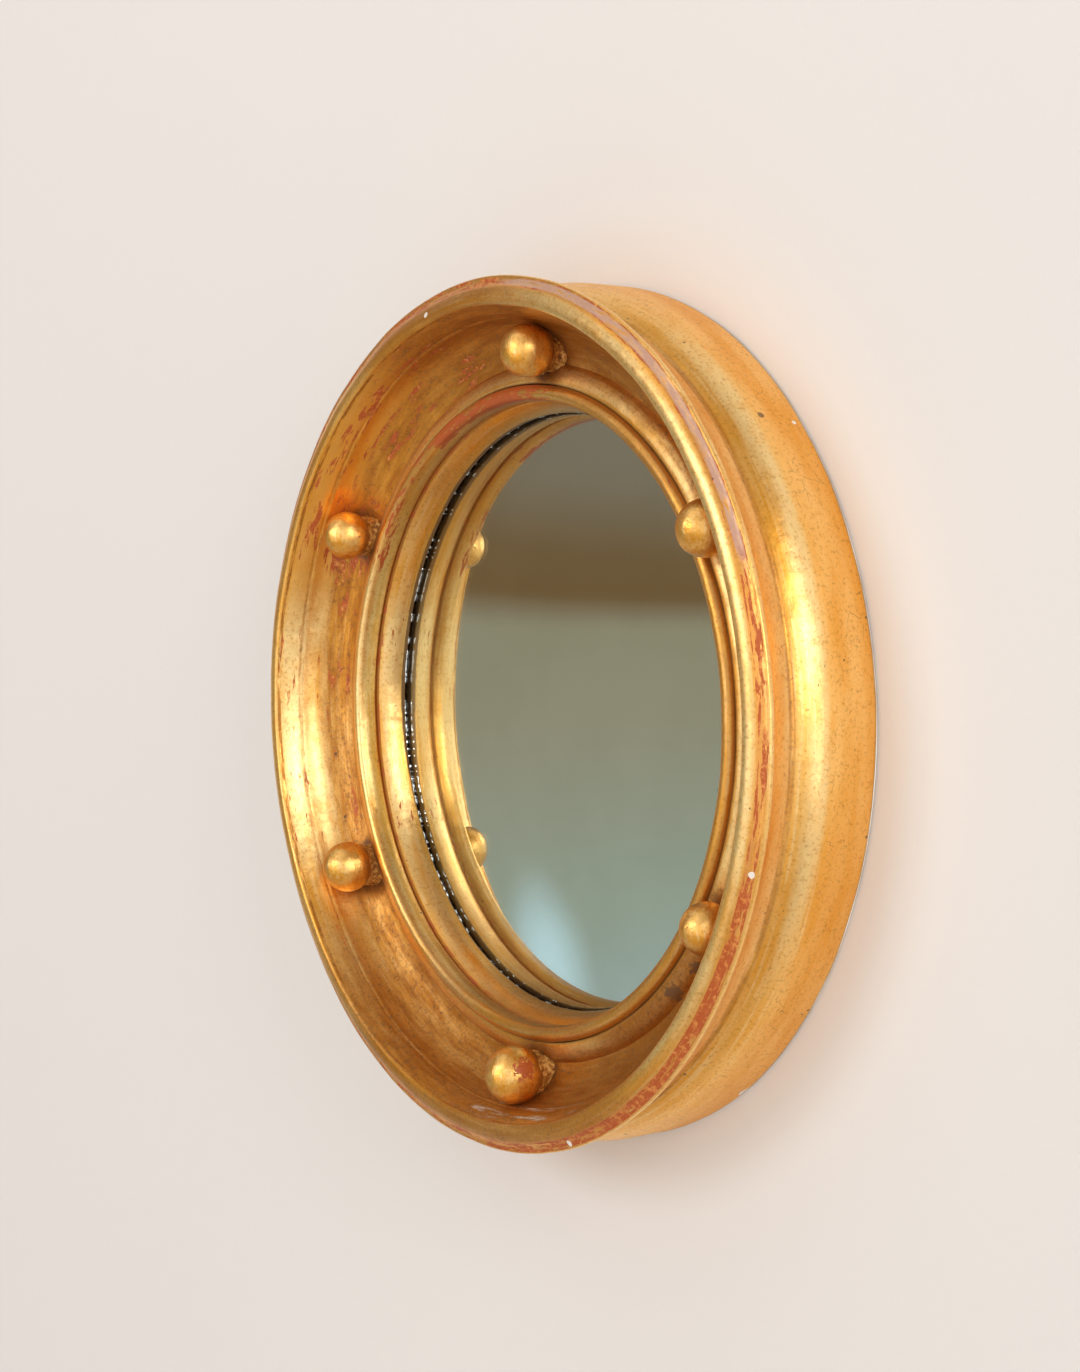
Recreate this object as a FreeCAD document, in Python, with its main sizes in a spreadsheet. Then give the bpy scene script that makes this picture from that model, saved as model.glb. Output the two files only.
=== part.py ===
import FreeCAD, Part
import math
import os
import Sketcher

# Round convex wall mirror in a turned and gilded frame with balls in its hollow.
#
# Frame of the model: the mirror's axis is Y, the wall is the plane Y = 0 behind
# it, the room is towards -Y, Z is up. Every turned piece is drawn as half a
# section, radius against depth, where depth is measured from the wall into
# the room, and is then turned about the mirror's axis.

doc = FreeCAD.newDocument("convex_mirror")
sheet = doc.addObject("Spreadsheet::Sheet", "Sizes")

SIZES = {
    # outside of the frame
    "frame_diameter": (250.0, "over the arris, the widest line of the frame"),
    "frame_depth": (40.4, "wall to the top of the rim bead"),
    "side_inset": (1.5, "edge that lies on the wall, in from the arris"),
    "side_depth": (17.5, "plain side, from the wall"),
    "side_swell": (0.4, "how far the plain side widens towards the front"),
    "ovolo_height": (7.7, "round shoulder between side and waist"),
    "ovolo_radius": (10.5, "round shoulder"),
    "waist_inset": (6.0, "waist, in from the arris"),
    "waist_radius": (14.0, "hollow between waist and arris"),
    "arris_set_back": (3.9, "arris behind the rim bead's top"),
    "arris_round": (1.5, "round edge of the arris"),
    "arris_rise": (0.8, "half the height of the arris"),
    "fillet_width": (2.6, "worn fillet beside the arris"),
    "fillet_hollow": (3.4, "hollow of the worn fillet"),
    "bead_width": (5.6, "rim bead"),
    "bead_height": (1.8, "rim bead above its quirks"),
    "quirk_depth": (0.5, "quirk inside the rim bead"),
    "quirk_width": (0.25, "quirk inside the rim bead"),
    "small_bead_width": (1.3, "small bead inside the quirk"),
    "small_bead_drop": (1.7, "small bead, from its quirk down to the slope"),
    "small_bead_round": (2.0, "small bead"),
    # hollow that holds the balls
    "slope_width": (1.5, "inner slope of the rim"),
    "slope_height": (3.2, "inner slope of the rim"),
    "slope_hollow": (7.0, "inner slope of the rim"),
    "crease_step": (0.35, "step between slope and hollow"),
    "hollow_width": (12.4, "hollow, across"),
    "hollow_height": (11.9, "hollow, from its inner end up to the crease"),
    "hollow_play": (1.5, "hollow's radius beyond that of the largest ball"),
    "band_width": (6.05, "round band between hollow and sight ring"),
    "band_height": (3.3, "round band, rise towards the sight ring"),
    "band_round": (7.0, "round band"),
    # openings in the back of the frame
    "ledge_width": (2.35, "ledge that the sight ring's flange bears on"),
    "board_ledge_width": (5.5, "ledge that the backboard lies on"),
    "board_thickness": (3.2, "backboard"),
    "board_play": (0.4, "gap round the backboard"),
    # sight ring
    "ring_play": (0.15, "gap round the sight ring"),
    "flange_play": (0.3, "gap round the sight ring's flange"),
    "ring_set_back": (14.0, "sight ring's front behind the rim bead's top"),
    "reed_width": (4.1, "front reed of the sight ring"),
    "reed_shoulder": (2.2, "outer edge of the reed behind its front"),
    "reed_lip": (0.8, "inner edge of the reed behind its front"),
    "reed_round": (2.55, "front of the reed"),
    "reed_side_round": (9.0, "inner side of the reed"),
    "reed_share": (0.53, "reed's part of the ring's height above the sight edge"),
    "groove_width": (0.7, "groove between the two reeds"),
    "groove_bite": (0.55, "depth of that groove"),
    "cove_run": (3.7, "second reed, from the groove in to the sight edge"),
    "cove_round": (13.0, "second reed"),
    "lip_chamfer": (0.5, "sight edge"),
    "flange_thickness": (4.3, "sight ring behind the frame's ledge"),
    # mirror glass
    "glass_setting": (10.7, "wall to the glass front at the sight edge"),
    "glass_radius": (570.0, "curve of the glass"),
    "glass_thickness": (2.0, "glass"),
    "glass_play": (1.6, "gap round the glass"),
    "glass_gap": (0.4, "glass to the sight ring"),
    "silver_gap": (0.1, "glass to its silvering"),
    "silver_thickness": (0.25, "silvering with its backing paint"),
    "packing_width": (8.0, "felt ring between silvering and backboard"),
    "packing_thickness": (1.15, "felt ring between silvering and backboard"),
    "packing_gap": (0.3, "felt ring to the silvering"),
    # balls
    "ball_side_gap": (0.65, "largest ball to the hollow's outer edge"),
    "ball_stand": (2.3, "seat to the lowest point of a ball"),
    "seat_sink": (0.75, "flat seats below the hollow's inner end"),
    "collar_radius": (5.2, "collar under a ball"),
    "collar_play": (0.15, "gap round a collar in its seat"),
    "ball_gap": (0.05, "ball to its collar"),
    "dowel_diameter": (4.0, "dowel through the collar"),
    "dowel_play": (0.1, "gap round a dowel"),
    "dowel_in_frame": (6.0, "dowel below the seat"),
    "dowel_in_ball": (5.0, "dowel in the ball"),
    # brads through the backboard
    "brad_count": (6, "brads round the backboard"),
    "brad_diameter": (1.4, "brad"),
    "brad_head": (3.0, "brad's head"),
    "brad_head_height": (0.7, "brad's head"),
    "brad_cover": (5.943, "wood between the brads' ends and the level of the ball seats"),
    "brad_play": (0.1, "gap round a brad"),
    # hanger at the top of the back
    "recess_depth": (6.2, "recess for the hanger"),
    "recess_side": (2.45, "recess edge to the hanging ring, at each side"),
    "recess_top": (0.8, "recess edge to the hanging ring, above it"),
    "recess_corner": (3.0, "recess for the hanger"),
    "recess_wall": (1.6, "wood between the backboard and the recess"),
    "plate_width": (15.6, "hanger plate"),
    "plate_height": (6.6, "hanger plate"),
    "plate_thickness": (0.7, "hanger plate"),
    "plate_corner": (1.5, "hanger plate"),
    "plate_margin": (0.5, "recess edge to hanger plate"),
    "knuckle_width": (7.0, "rolled knuckle of the plate"),
    "knuckle_wall": (0.75, "rolled knuckle of the plate"),
    "wire_diameter": (1.7, "hanging ring's wire"),
    "wire_play": (0.08, "gap round the wire in its knuckle"),
    "ring_width": (15.6, "hanging ring, across its outside"),
    "ring_height": (7.8, "hanging ring, wire axis to its top"),
    "ring_corner": (1.6, "hanging ring's lower corners"),
    "ring_shoulder": (4.4, "hanging ring's upper corners"),
    "screw_spacing": (9.6, "hanger screws"),
    "screw_diameter": (2.2, "hanger screw"),
    "screw_head": (4.2, "hanger screw's countersunk head"),
    "screw_cover": (5.7, "wood between the screws' ends and the level of the ball seats"),
    "screw_play": (0.1, "gap round a hanger screw"),
}

# each ball: its place round the frame, counted from the right-hand side, and its size
BALLS = {
    1: (85.5, 15.6),
    2: (150.2, 14.6),
    3: (209.6, 15.5),
    4: (270.6, 17.0),
    5: (329.2, 14.8),
    6: (30.6, 15.8),
}


class Size:
    """A length together with the expression that drives it."""

    def __init__(self, value, text):
        self.value = value
        self.text = text

    def with_other(self, other, sign, result):
        text = other.text if isinstance(other, Size) else repr(other)
        return Size(result, "(%s %s %s)" % (self.text, sign, text))

    def __add__(self, other):
        return self.with_other(other, "+", self.value + number(other))

    def __sub__(self, other):
        return self.with_other(other, "-", self.value - number(other))

    def __mul__(self, other):
        return self.with_other(other, "*", self.value * number(other))

    def __truediv__(self, other):
        return self.with_other(other, "/", self.value / number(other))

    def __neg__(self):
        return Size(-self.value, "(-1 * %s)" % self.text)


def number(size):
    return size.value if isinstance(size, Size) else size


def root(size):
    return Size(math.sqrt(size.value), "sqrt(%s)" % size.text)


def cosine(size):
    return Size(math.cos(math.radians(size.value)), "cos(%s)" % size.text)


def sine(size):
    return Size(math.sin(math.radians(size.value)), "sin(%s)" % size.text)


def largest(sizes):
    return Size(max(one.value for one in sizes), "max(%s)" % "; ".join(one.text for one in sizes))


class Named:
    """The sheet's sizes, by their names."""


size = Named()
ZERO = Size(0.0, "0")
FULL_TURN = 360.0
HALF_TURN = 180.0
QUARTER_TURN = 90.0

# a sketch's own axes, and the two ends and the middle of a curve in it
H_AXIS = -1
V_AXIS = -2
START, END, MIDDLE = 1, 2, 3


def fill_sheet():
    """Write every driving size into the sheet and keep it under its name."""
    rows = dict(SIZES)
    for ball, (angle, diameter) in BALLS.items():
        rows["ball_angle_%d" % ball] = (angle, "ball %d, degrees round the frame" % ball)
        rows["ball_diameter_%d" % ball] = (diameter, "ball %d" % ball)
    for row, (name, (value, note)) in enumerate(rows.items(), 1):
        sheet.set("A%d" % row, name.replace("_", " "))
        sheet.set("B%d" % row, str(value))
        sheet.set("C%d" % row, note)
        sheet.setAlias("B%d" % row, name)
        setattr(size, name, Size(value, "Sizes.%s" % name))
    doc.recompute()


# ---------------------------------------------------------------- drawing helpers

def bind(thing, field, length):
    thing.setExpression(field, number_text(length))


def number_text(length):
    return length.text if isinstance(length, Size) else repr(length)


def origin_plane(body, role):
    return [item for item in body.Origin.OriginFeatures if item.Role == role][0]


def new_sketch(body, name, plane, offset=None):
    """A sketch on one of the body's own origin planes, moved along the plane's normal."""
    sketch = body.newObject("Sketcher::SketchObject", name)
    sketch.AttachmentSupport = [(origin_plane(body, plane), "")]
    sketch.MapMode = "FlatFace"
    if offset is not None:
        bind(sketch, "AttachmentOffset.Base.z", offset)
    return sketch


def place_point(sketch, geometry, position, corner):
    """Hold a point at its two driven coordinates."""
    for kind, length, axis in (("DistanceX", corner[0], V_AXIS), ("DistanceY", corner[1], H_AXIS)):
        if length is ZERO:
            sketch.addConstraint(Sketcher.Constraint("PointOnObject", geometry, position, axis))
            continue
        held = sketch.addConstraint(
            Sketcher.Constraint(kind, H_AXIS, START, geometry, position, number(length)))
        bind(sketch, "Constraints[%d]" % held, length)


def hold_radius(sketch, geometry, radius):
    held = sketch.addConstraint(Sketcher.Constraint("Radius", geometry, number(radius)))
    bind(sketch, "Constraints[%d]" % held, radius)


def arc_between(start, end, radius, turn):
    """Arc from start to end; turn is 1 counterclockwise and -1 clockwise."""
    chord = end - start
    reach = math.sqrt(radius ** 2 - (chord.Length / 2) ** 2)
    side = FreeCAD.Vector(-chord.y, chord.x, 0) / chord.Length * turn
    centre = (start + end) / 2 + side * reach
    first, last = (start, end) if turn > 0 else (end, start)
    angles = [math.atan2(p.y - centre.y, p.x - centre.x) for p in (first, last)]
    circle = Part.Circle(centre, FreeCAD.Vector(0, 0, 1), radius)
    return Part.ArcOfCircle(circle, angles[0], angles[1])


def draw_outline(sketch, outline):
    """Closed outline. A corner is (x, y) after a straight edge, or (x, y, radius, turn)
    after an arc that turns counterclockwise for 1 and clockwise for -1."""
    ends = []
    for index, corner in enumerate(outline):
        start, end = [FreeCAD.Vector(number(c[0]), number(c[1]), 0)
                      for c in (outline[index - 1], corner)]
        if len(corner) == 2:
            sketch.addGeometry(Part.LineSegment(start, end))
            ends.append((START, END))
            continue
        radius, turn = corner[2], corner[3]
        sketch.addGeometry(arc_between(start, end, number(radius), turn))
        ends.append((START, END) if turn > 0 else (END, START))
    for index, corner in enumerate(outline):
        following = (index + 1) % len(outline)
        sketch.addConstraint(Sketcher.Constraint(
            "Coincident", index, ends[index][1], following, ends[following][0]))
        place_point(sketch, index, ends[index][1], corner)
        if len(corner) > 2:
            hold_radius(sketch, index, corner[2])


def draw_circles(sketch, centres, radius):
    """Equal circles at driven centres."""
    for centre in centres:
        middle = FreeCAD.Vector(number(centre[0]), number(centre[1]), 0)
        circle = sketch.addGeometry(
            Part.Circle(middle, FreeCAD.Vector(0, 0, 1), number(radius)))
        place_point(sketch, circle, MIDDLE, centre)
        hold_radius(sketch, circle, radius)


def new_body(name):
    """A body whose own +Y points into the room, so that depths are positive in it."""
    body = doc.addObject("PartDesign::Body", name)
    body.Label = name
    body.Placement = FreeCAD.Placement(
        FreeCAD.Vector(0, 0, 0), FreeCAD.Rotation(FreeCAD.Vector(0, 0, 1), HALF_TURN))
    return body


def move_to(thing, x, y, z):
    """Driven place of a piece in the model's frame."""
    for axis, length in zip("xyz", (x, y, z)):
        bind(thing, "Placement.Base.%s" % axis, length)


def turned(name, outline):
    """A piece turned about its own depth axis from half a section."""
    body = new_body(name)
    sketch = new_sketch(body, name + "_section", "XY_Plane")
    draw_outline(sketch, outline)
    feature = body.newObject("PartDesign::Revolution", name + "_turned")
    feature.Profile = sketch
    feature.ReferenceAxis = (sketch, ["V_Axis"])
    feature.Angle = FULL_TURN
    body.Tip = feature
    return body


def pad(body, sketch, length, reverse=False, both_ways=False):
    feature = body.newObject("PartDesign::Pad", sketch.Name + "_pad")
    feature.Profile = sketch
    bind(feature, "Length", length)
    feature.Reversed = reverse
    feature.Midplane = both_ways
    body.Tip = feature
    return feature


def pocket(body, sketch, length=None, towards_room=True, both_ways=False):
    """Cut a sketch out, by a length or right through, and make sure that it cut."""
    doc.recompute()
    before = body.Shape.Volume
    feature = body.newObject("PartDesign::Pocket", sketch.Name + "_pocket")
    feature.Profile = sketch
    if length is None:
        feature.Type = "ThroughAll"
    else:
        bind(feature, "Length", length)
    feature.Midplane = both_ways
    feature.Reversed = not towards_room
    body.Tip = feature
    doc.recompute()
    if body.Shape.Volume >= before:
        raise ValueError("%s cuts nothing" % sketch.Name)
    return feature


def group(name, members):
    """Several equal pieces that share one name."""
    compound = doc.addObject("Part::Compound", name)
    compound.Label = name
    compound.Links = members
    return compound


# ---------------------------------------------------------------- shared places

fill_sheet()

frame_radius = size.frame_diameter / 2
back_radius = frame_radius - size.side_inset
side_radius = back_radius + size.side_swell
waist_depth = size.side_depth + size.ovolo_height
arris_depth = size.frame_depth - size.arris_set_back

# from the arris inwards across the rim
fillet_outer = frame_radius - size.arris_round + root(
    size.arris_round * size.arris_round - size.arris_rise * size.arris_rise)
bead_outer = fillet_outer - size.fillet_width
bead_inner = bead_outer - size.bead_width
bead_foot = size.frame_depth - size.bead_height
small_bead_outer = bead_inner - size.quirk_width
small_bead_inner = small_bead_outer - size.small_bead_width
small_bead_top = bead_foot - size.quirk_depth
slope_top = small_bead_top - size.small_bead_drop
slope_inner = small_bead_inner - size.slope_width
slope_foot = slope_top - size.slope_height

# the hollow and the band inside it
hollow_outer = slope_inner - size.crease_step
hollow_top = slope_foot - size.crease_step
hollow_inner = hollow_outer - size.hollow_width
hollow_foot = hollow_top - size.hollow_height
bore_radius = hollow_inner - size.band_width
band_top = hollow_foot + size.band_height

# steps in the back
flange_bore = bore_radius + size.ledge_width
board_bore = flange_bore + size.board_ledge_width

# sight ring
ring_radius = bore_radius - size.ring_play
ring_front = size.frame_depth - size.ring_set_back
reed_inner = ring_radius - size.reed_width
sight_radius = reed_inner - size.cove_run
sight_depth = size.glass_setting + size.glass_gap
groove_depth = sight_depth + (ring_front - sight_depth) * size.reed_share
flange_radius = flange_bore - size.flange_play

# glass: part of a ball whose middle lies behind the wall
glass_centre = size.glass_setting - root(
    size.glass_radius * size.glass_radius - sight_radius * sight_radius)
glass_edge = flange_bore - size.glass_play


def on_ball(radius, across):
    """Depth of a sphere round the glass's middle, that far from the mirror's axis."""
    return glass_centre + root(radius * radius - across * across)


# the sight ring's hollow back follows the glass, and its flange ends at the frame's ledge
sight_back_radius = size.glass_radius + size.glass_gap
sight_back = on_ball(sight_back_radius, sight_radius + size.lip_chamfer)
flange_back = on_ball(sight_back_radius, flange_radius)
ledge_depth = sight_depth + size.flange_thickness

# silvering behind the glass, then the felt ring, then the backboard
glass_back_radius = size.glass_radius - size.glass_thickness
silver_front_radius = glass_back_radius - size.silver_gap
silver_back_radius = silver_front_radius - size.silver_thickness
packing_front = on_ball(silver_back_radius, glass_edge) - size.packing_gap
board_front = packing_front - size.packing_thickness
board_back = board_front - size.board_thickness

# balls: they differ a little in size, and their centres lie on one circle
ball_radii = {ball: getattr(size, "ball_diameter_%d" % ball) / 2 for ball in BALLS}
largest_ball = largest(ball_radii.values())
hollow_radius = largest_ball + size.hollow_play
ball_circle_radius = hollow_outer - size.ball_side_gap - largest_ball
seat_depth = hollow_foot - size.seat_sink
dowel_radius = size.dowel_diameter / 2
dowel_hole = dowel_radius + size.dowel_play

# brads stand in the middle of the backboard's ledge and end short of the balls' seats
brad_circle = flange_bore + size.board_ledge_width / 2
brad_hole = size.brad_diameter / 2 + size.brad_play
brad_length = seat_depth - size.brad_cover - board_back

# hanger, from the backboard's opening up to the outer edge
recess_foot = board_bore + size.recess_wall
plate_foot = recess_foot + size.plate_margin
wire_radius = size.wire_diameter / 2
wire_hole = wire_radius + size.wire_play
knuckle_radius = wire_hole + size.knuckle_wall
knuckle_height = plate_foot + size.plate_height + knuckle_radius
knuckle_depth = size.recess_depth - knuckle_radius
plate_face = size.recess_depth - size.plate_thickness
recess_half = size.ring_width / 2 + size.recess_side
recess_head = knuckle_height + size.ring_height + size.recess_top
screw_places = {"left": -size.screw_spacing / 2, "right": size.screw_spacing / 2}
screw_height = plate_foot + size.plate_height / 2
screw_hole = size.screw_diameter / 2 + size.screw_play
screw_length = seat_depth - size.screw_cover - plate_face


def ball_place(ball):
    """Ball's centre in the model's frame: across, depth from the wall, up."""
    angle = getattr(size, "ball_angle_%d" % ball)
    return (ball_circle_radius * cosine(angle),
            seat_depth + size.ball_stand + ball_radii[ball],
            ball_circle_radius * sine(angle))


# ---------------------------------------------------------------- frame

def frame_section():
    """Half a section of the frame, from the wall up the outside and in to the bore."""
    bead_round = (size.bead_width * size.bead_width / 4
                  + size.bead_height * size.bead_height) / (size.bead_height * 2)
    return [
        (back_radius, ZERO),
        (side_radius, size.side_depth),
        (frame_radius - size.waist_inset, waist_depth, size.ovolo_radius, 1),
        (fillet_outer, arris_depth - size.arris_rise, size.waist_radius, -1),
        (fillet_outer, arris_depth + size.arris_rise, size.arris_round, 1),
        (bead_outer, bead_foot, size.fillet_hollow, -1),
        (bead_inner, bead_foot, bead_round, 1),
        (small_bead_outer, small_bead_top),
        (small_bead_inner, slope_top, size.small_bead_round, 1),
        (slope_inner, slope_foot, size.slope_hollow, -1),
        (hollow_outer, hollow_top),
        (hollow_inner, hollow_foot, hollow_radius, -1),
        (bore_radius, band_top, size.band_round, 1),
        (bore_radius, ledge_depth),
        (flange_bore, ledge_depth),
        (flange_bore, board_front),
        (board_bore, board_front),
        (board_bore, ZERO),
    ]


def rounded_rectangle(left, low, right, high, corner):
    """Outline of a rectangle with round corners, counterclockwise."""
    return [
        (left + corner, low),
        (right - corner, low),
        (right, low + corner, corner, 1),
        (right, high - corner),
        (right - corner, high, corner, 1),
        (left + corner, high),
        (left, high - corner, corner, 1),
        (left, low + corner),
        (left + corner, low, corner, 1),
    ][1:]


def make_frame_ring():
    """Turned ring with the seats for the balls, the hanger's recess and the pilot holes."""
    body = turned("frame_ring", frame_section())

    # the body is turned half round about Z, so places across are mirrored in its sketches
    places = []
    for ball in BALLS:
        across, _, up = ball_place(ball)
        places.append((-across, up))
    seats = new_sketch(body, "ball_seats", "XZ_Plane", -seat_depth)
    draw_circles(seats, places, size.collar_radius + size.collar_play)
    pocket(body, seats)
    holes = new_sketch(body, "dowel_holes", "XZ_Plane", -seat_depth)
    draw_circles(holes, places, dowel_hole)
    pocket(body, holes, size.dowel_in_frame, towards_room=False)

    recess = new_sketch(body, "hanger_recess", "XZ_Plane")
    draw_outline(recess, rounded_rectangle(
        -recess_half, recess_foot, recess_half, recess_head, size.recess_corner))
    pocket(body, recess, size.recess_depth)

    pilots = new_sketch(body, "screw_holes", "XZ_Plane", -size.recess_depth)
    draw_circles(pilots, [(across, screw_height) for across in screw_places.values()], screw_hole)
    pocket(body, pilots, screw_length - size.plate_thickness)

    drill_for_brads(body, board_front, brad_length - size.board_thickness)
    return body


def drill_for_brads(body, start_depth, length):
    """One hole for each brad, drilled from a depth towards the room."""
    sketch = new_sketch(body, body.Name + "_brad_hole", "XZ_Plane", -start_depth)
    draw_circles(sketch, [(ZERO, -brad_circle)], brad_hole)
    first = pocket(body, sketch, length)
    before = body.Shape.Volume
    pattern = body.newObject("PartDesign::PolarPattern", sketch.Name + "_round")
    pattern.Originals = [first]
    pattern.Axis = (sketch, ["N_Axis"])
    pattern.Angle = FULL_TURN
    bind(pattern, "Occurrences", size.brad_count)
    body.Tip = pattern
    doc.recompute()
    if body.Shape.Volume >= before:
        raise ValueError("%s isn't repeated" % sketch.Name)


# ---------------------------------------------------------------- sight ring and glass

def make_sight_ring():
    """Ring with two reeds that frames the glass, dropped in from behind on its flange."""
    reed_top = ring_front - size.reed_lip
    half_groove = size.groove_width / 2
    return turned("sight_ring", [
        (ring_radius, ledge_depth),
        (ring_radius, ring_front - size.reed_shoulder),
        (reed_inner, reed_top, size.reed_round, 1),
        (reed_inner, groove_depth + half_groove, size.reed_side_round, 1),
        (reed_inner + size.groove_bite, groove_depth),
        (reed_inner, groove_depth - half_groove),
        (sight_radius, sight_depth + size.lip_chamfer, size.cove_round, 1),
        (sight_radius + size.lip_chamfer, sight_back),
        (flange_radius, flange_back, sight_back_radius, -1),
        (flange_radius, ledge_depth),
    ])


def sphere(name, radius):
    """Sphere round the glass's middle, with its poles to the left and right."""
    ball = doc.addObject("Part::Sphere", name)
    bind(ball, "Radius", radius)
    ball.Placement.Rotation = FreeCAD.Rotation(FreeCAD.Vector(0, 1, 0), QUARTER_TURN)
    move_to(ball, ZERO, -glass_centre, ZERO)
    return ball


def curved_disc(name, front, back):
    """Round piece cut out of a thin spherical shell that has these two radii."""
    blank = doc.addObject("Part::Cylinder", name + "_blank")
    blank.Placement.Rotation = FreeCAD.Rotation(FreeCAD.Vector(1, 0, 0), QUARTER_TURN)
    bind(blank, "Radius", glass_edge)
    bind(blank, "Height", size.frame_depth)
    disc = doc.addObject("Part::Common", name + "_disc")
    disc.Base = sphere(name + "_front", front)
    disc.Tool = blank
    piece = doc.addObject("Part::Cut", name)
    piece.Label = name
    piece.Base = disc
    piece.Tool = sphere(name + "_back", back)
    return piece


def make_packing_ring():
    """Felt ring that keeps the glass from rattling, flat on the backboard's front."""
    inner = glass_edge - size.packing_width
    return turned("packing_ring", [
        (glass_edge, board_front),
        (glass_edge, packing_front),
        (inner, packing_front),
        (inner, board_front),
    ])


# ---------------------------------------------------------------- balls

def make_ball(ball):
    """Turned ball with a blind hole for its dowel."""
    radius = ball_radii[ball]
    across, depth, up = ball_place(ball)
    body = turned("ball_%d" % ball, [
        (dowel_hole, -root(radius * radius - dowel_hole * dowel_hole)),
        (ZERO, radius, radius, 1),
        (ZERO, size.dowel_in_ball - radius),
        (dowel_hole, size.dowel_in_ball - radius),
    ])
    move_to(body, across, -depth, up)
    return body


def make_ball_collar(ball):
    """Built-up collar that a ball beds in, on a flat seat in the hollow."""
    bed = ball_radii[ball] + size.ball_gap
    middle = size.ball_stand + ball_radii[ball]
    edge = size.collar_radius
    across, _, up = ball_place(ball)
    body = turned("ball_collar_%d" % ball, [
        (dowel_hole, ZERO),
        (edge, ZERO),
        (edge, middle - root(bed * bed - edge * edge)),
        (dowel_hole, middle - root(bed * bed - dowel_hole * dowel_hole), bed, -1),
    ])
    move_to(body, across, -seat_depth, up)
    return body


def make_ball_dowels():
    """One dowel for each ball, from the frame through the collar into the ball."""
    length = size.dowel_in_frame + size.ball_stand + size.dowel_in_ball
    dowels = []
    for ball in BALLS:
        across, _, up = ball_place(ball)
        dowel = turned("ball_dowel_%d" % ball, [
            (dowel_radius, ZERO),
            (dowel_radius, length),
            (ZERO, length),
            (ZERO, ZERO),
        ])
        move_to(dowel, across, size.dowel_in_frame - seat_depth, up)
        dowels.append(dowel)
    return group("ball_dowels", dowels)


# ---------------------------------------------------------------- back

def make_backboard():
    """Thin round board in the back with a hole for each brad."""
    edge = board_bore - size.board_play
    body = turned("backboard", [
        (edge, board_back),
        (edge, board_front),
        (ZERO, board_front),
        (ZERO, board_back),
    ])
    drill_for_brads(body, board_back, size.board_thickness)
    return body


def make_brads():
    """Flat-headed brads through the backboard into the frame's ledge, the first one lowest."""
    brads = []
    for index in range(SIZES["brad_count"][0]):
        angle = Size(FULL_TURN, repr(FULL_TURN)) / size.brad_count * index
        brad = turned("brad_%d" % (index + 1), [
            (size.brad_head / 2, -size.brad_head_height),
            (size.brad_head / 2, ZERO),
            (size.brad_diameter / 2, ZERO),
            (size.brad_diameter / 2, brad_length),
            (ZERO, brad_length),
            (ZERO, -size.brad_head_height),
        ])
        move_to(brad, brad_circle * sine(angle), -board_back, -brad_circle * cosine(angle))
        brads.append(brad)
    return group("backboard_brads", brads)


# ---------------------------------------------------------------- hanger

def make_hanger_plate():
    """Brass plate with a rolled knuckle for the ring and two countersunk holes."""
    body = new_body("hanger_plate")
    half = size.plate_width / 2
    blank = new_sketch(body, "plate_blank", "XZ_Plane", -plate_face)
    draw_outline(blank, rounded_rectangle(
        -half, plate_foot, half, plate_foot + size.plate_height, size.plate_corner))
    pad(body, blank, size.plate_thickness, reverse=True)

    # the plate's tongue runs up to the knuckle and rolls round the wire
    tongue_foot = plate_foot + size.plate_height - size.plate_corner
    knuckle = new_sketch(body, "knuckle_side", "YZ_Plane")
    draw_outline(knuckle, [
        (plate_face, tongue_foot),
        (size.recess_depth, tongue_foot),
        (size.recess_depth, knuckle_height),
        (knuckle_depth, knuckle_height + knuckle_radius, knuckle_radius, 1),
        (knuckle_depth - knuckle_radius, knuckle_height, knuckle_radius, 1),
        (knuckle_depth, knuckle_height - knuckle_radius, knuckle_radius, 1),
        (plate_face, knuckle_height - knuckle_radius),
    ])
    pad(body, knuckle, size.knuckle_width, both_ways=True)
    eye = new_sketch(body, "knuckle_eye", "YZ_Plane")
    draw_circles(eye, [(knuckle_depth, knuckle_height)], wire_hole)
    pocket(body, eye, both_ways=True)

    for name, across in screw_places.items():
        sink = body.newObject("PartDesign::SubtractiveCone", "countersink_" + name)
        sink.AttachmentSupport = [(origin_plane(body, "XZ_Plane"), "")]
        sink.MapMode = "FlatFace"
        bind(sink, "Radius1", screw_hole)
        bind(sink, "Radius2", size.screw_head / 2 + size.screw_play)
        bind(sink, "Height", size.plate_thickness)
        bind(sink, "AttachmentOffset.Base.x", across)
        bind(sink, "AttachmentOffset.Base.y", screw_height)
        bind(sink, "AttachmentOffset.Base.z", -size.recess_depth)
        body.Tip = sink
    return body


def make_hanger_screws():
    """Two countersunk wood screws, heads flush with the plate."""
    screws = []
    for name, across in screw_places.items():
        screw = turned("hanger_screw_" + name, [
            (size.screw_head / 2, ZERO),
            (size.screw_diameter / 2, size.plate_thickness),
            (size.screw_diameter / 2, screw_length),
            (ZERO, screw_length),
            (ZERO, ZERO),
        ])
        move_to(screw, across, -plate_face, screw_height)
        screws.append(screw)
    return group("hanger_screws", screws)


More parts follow.
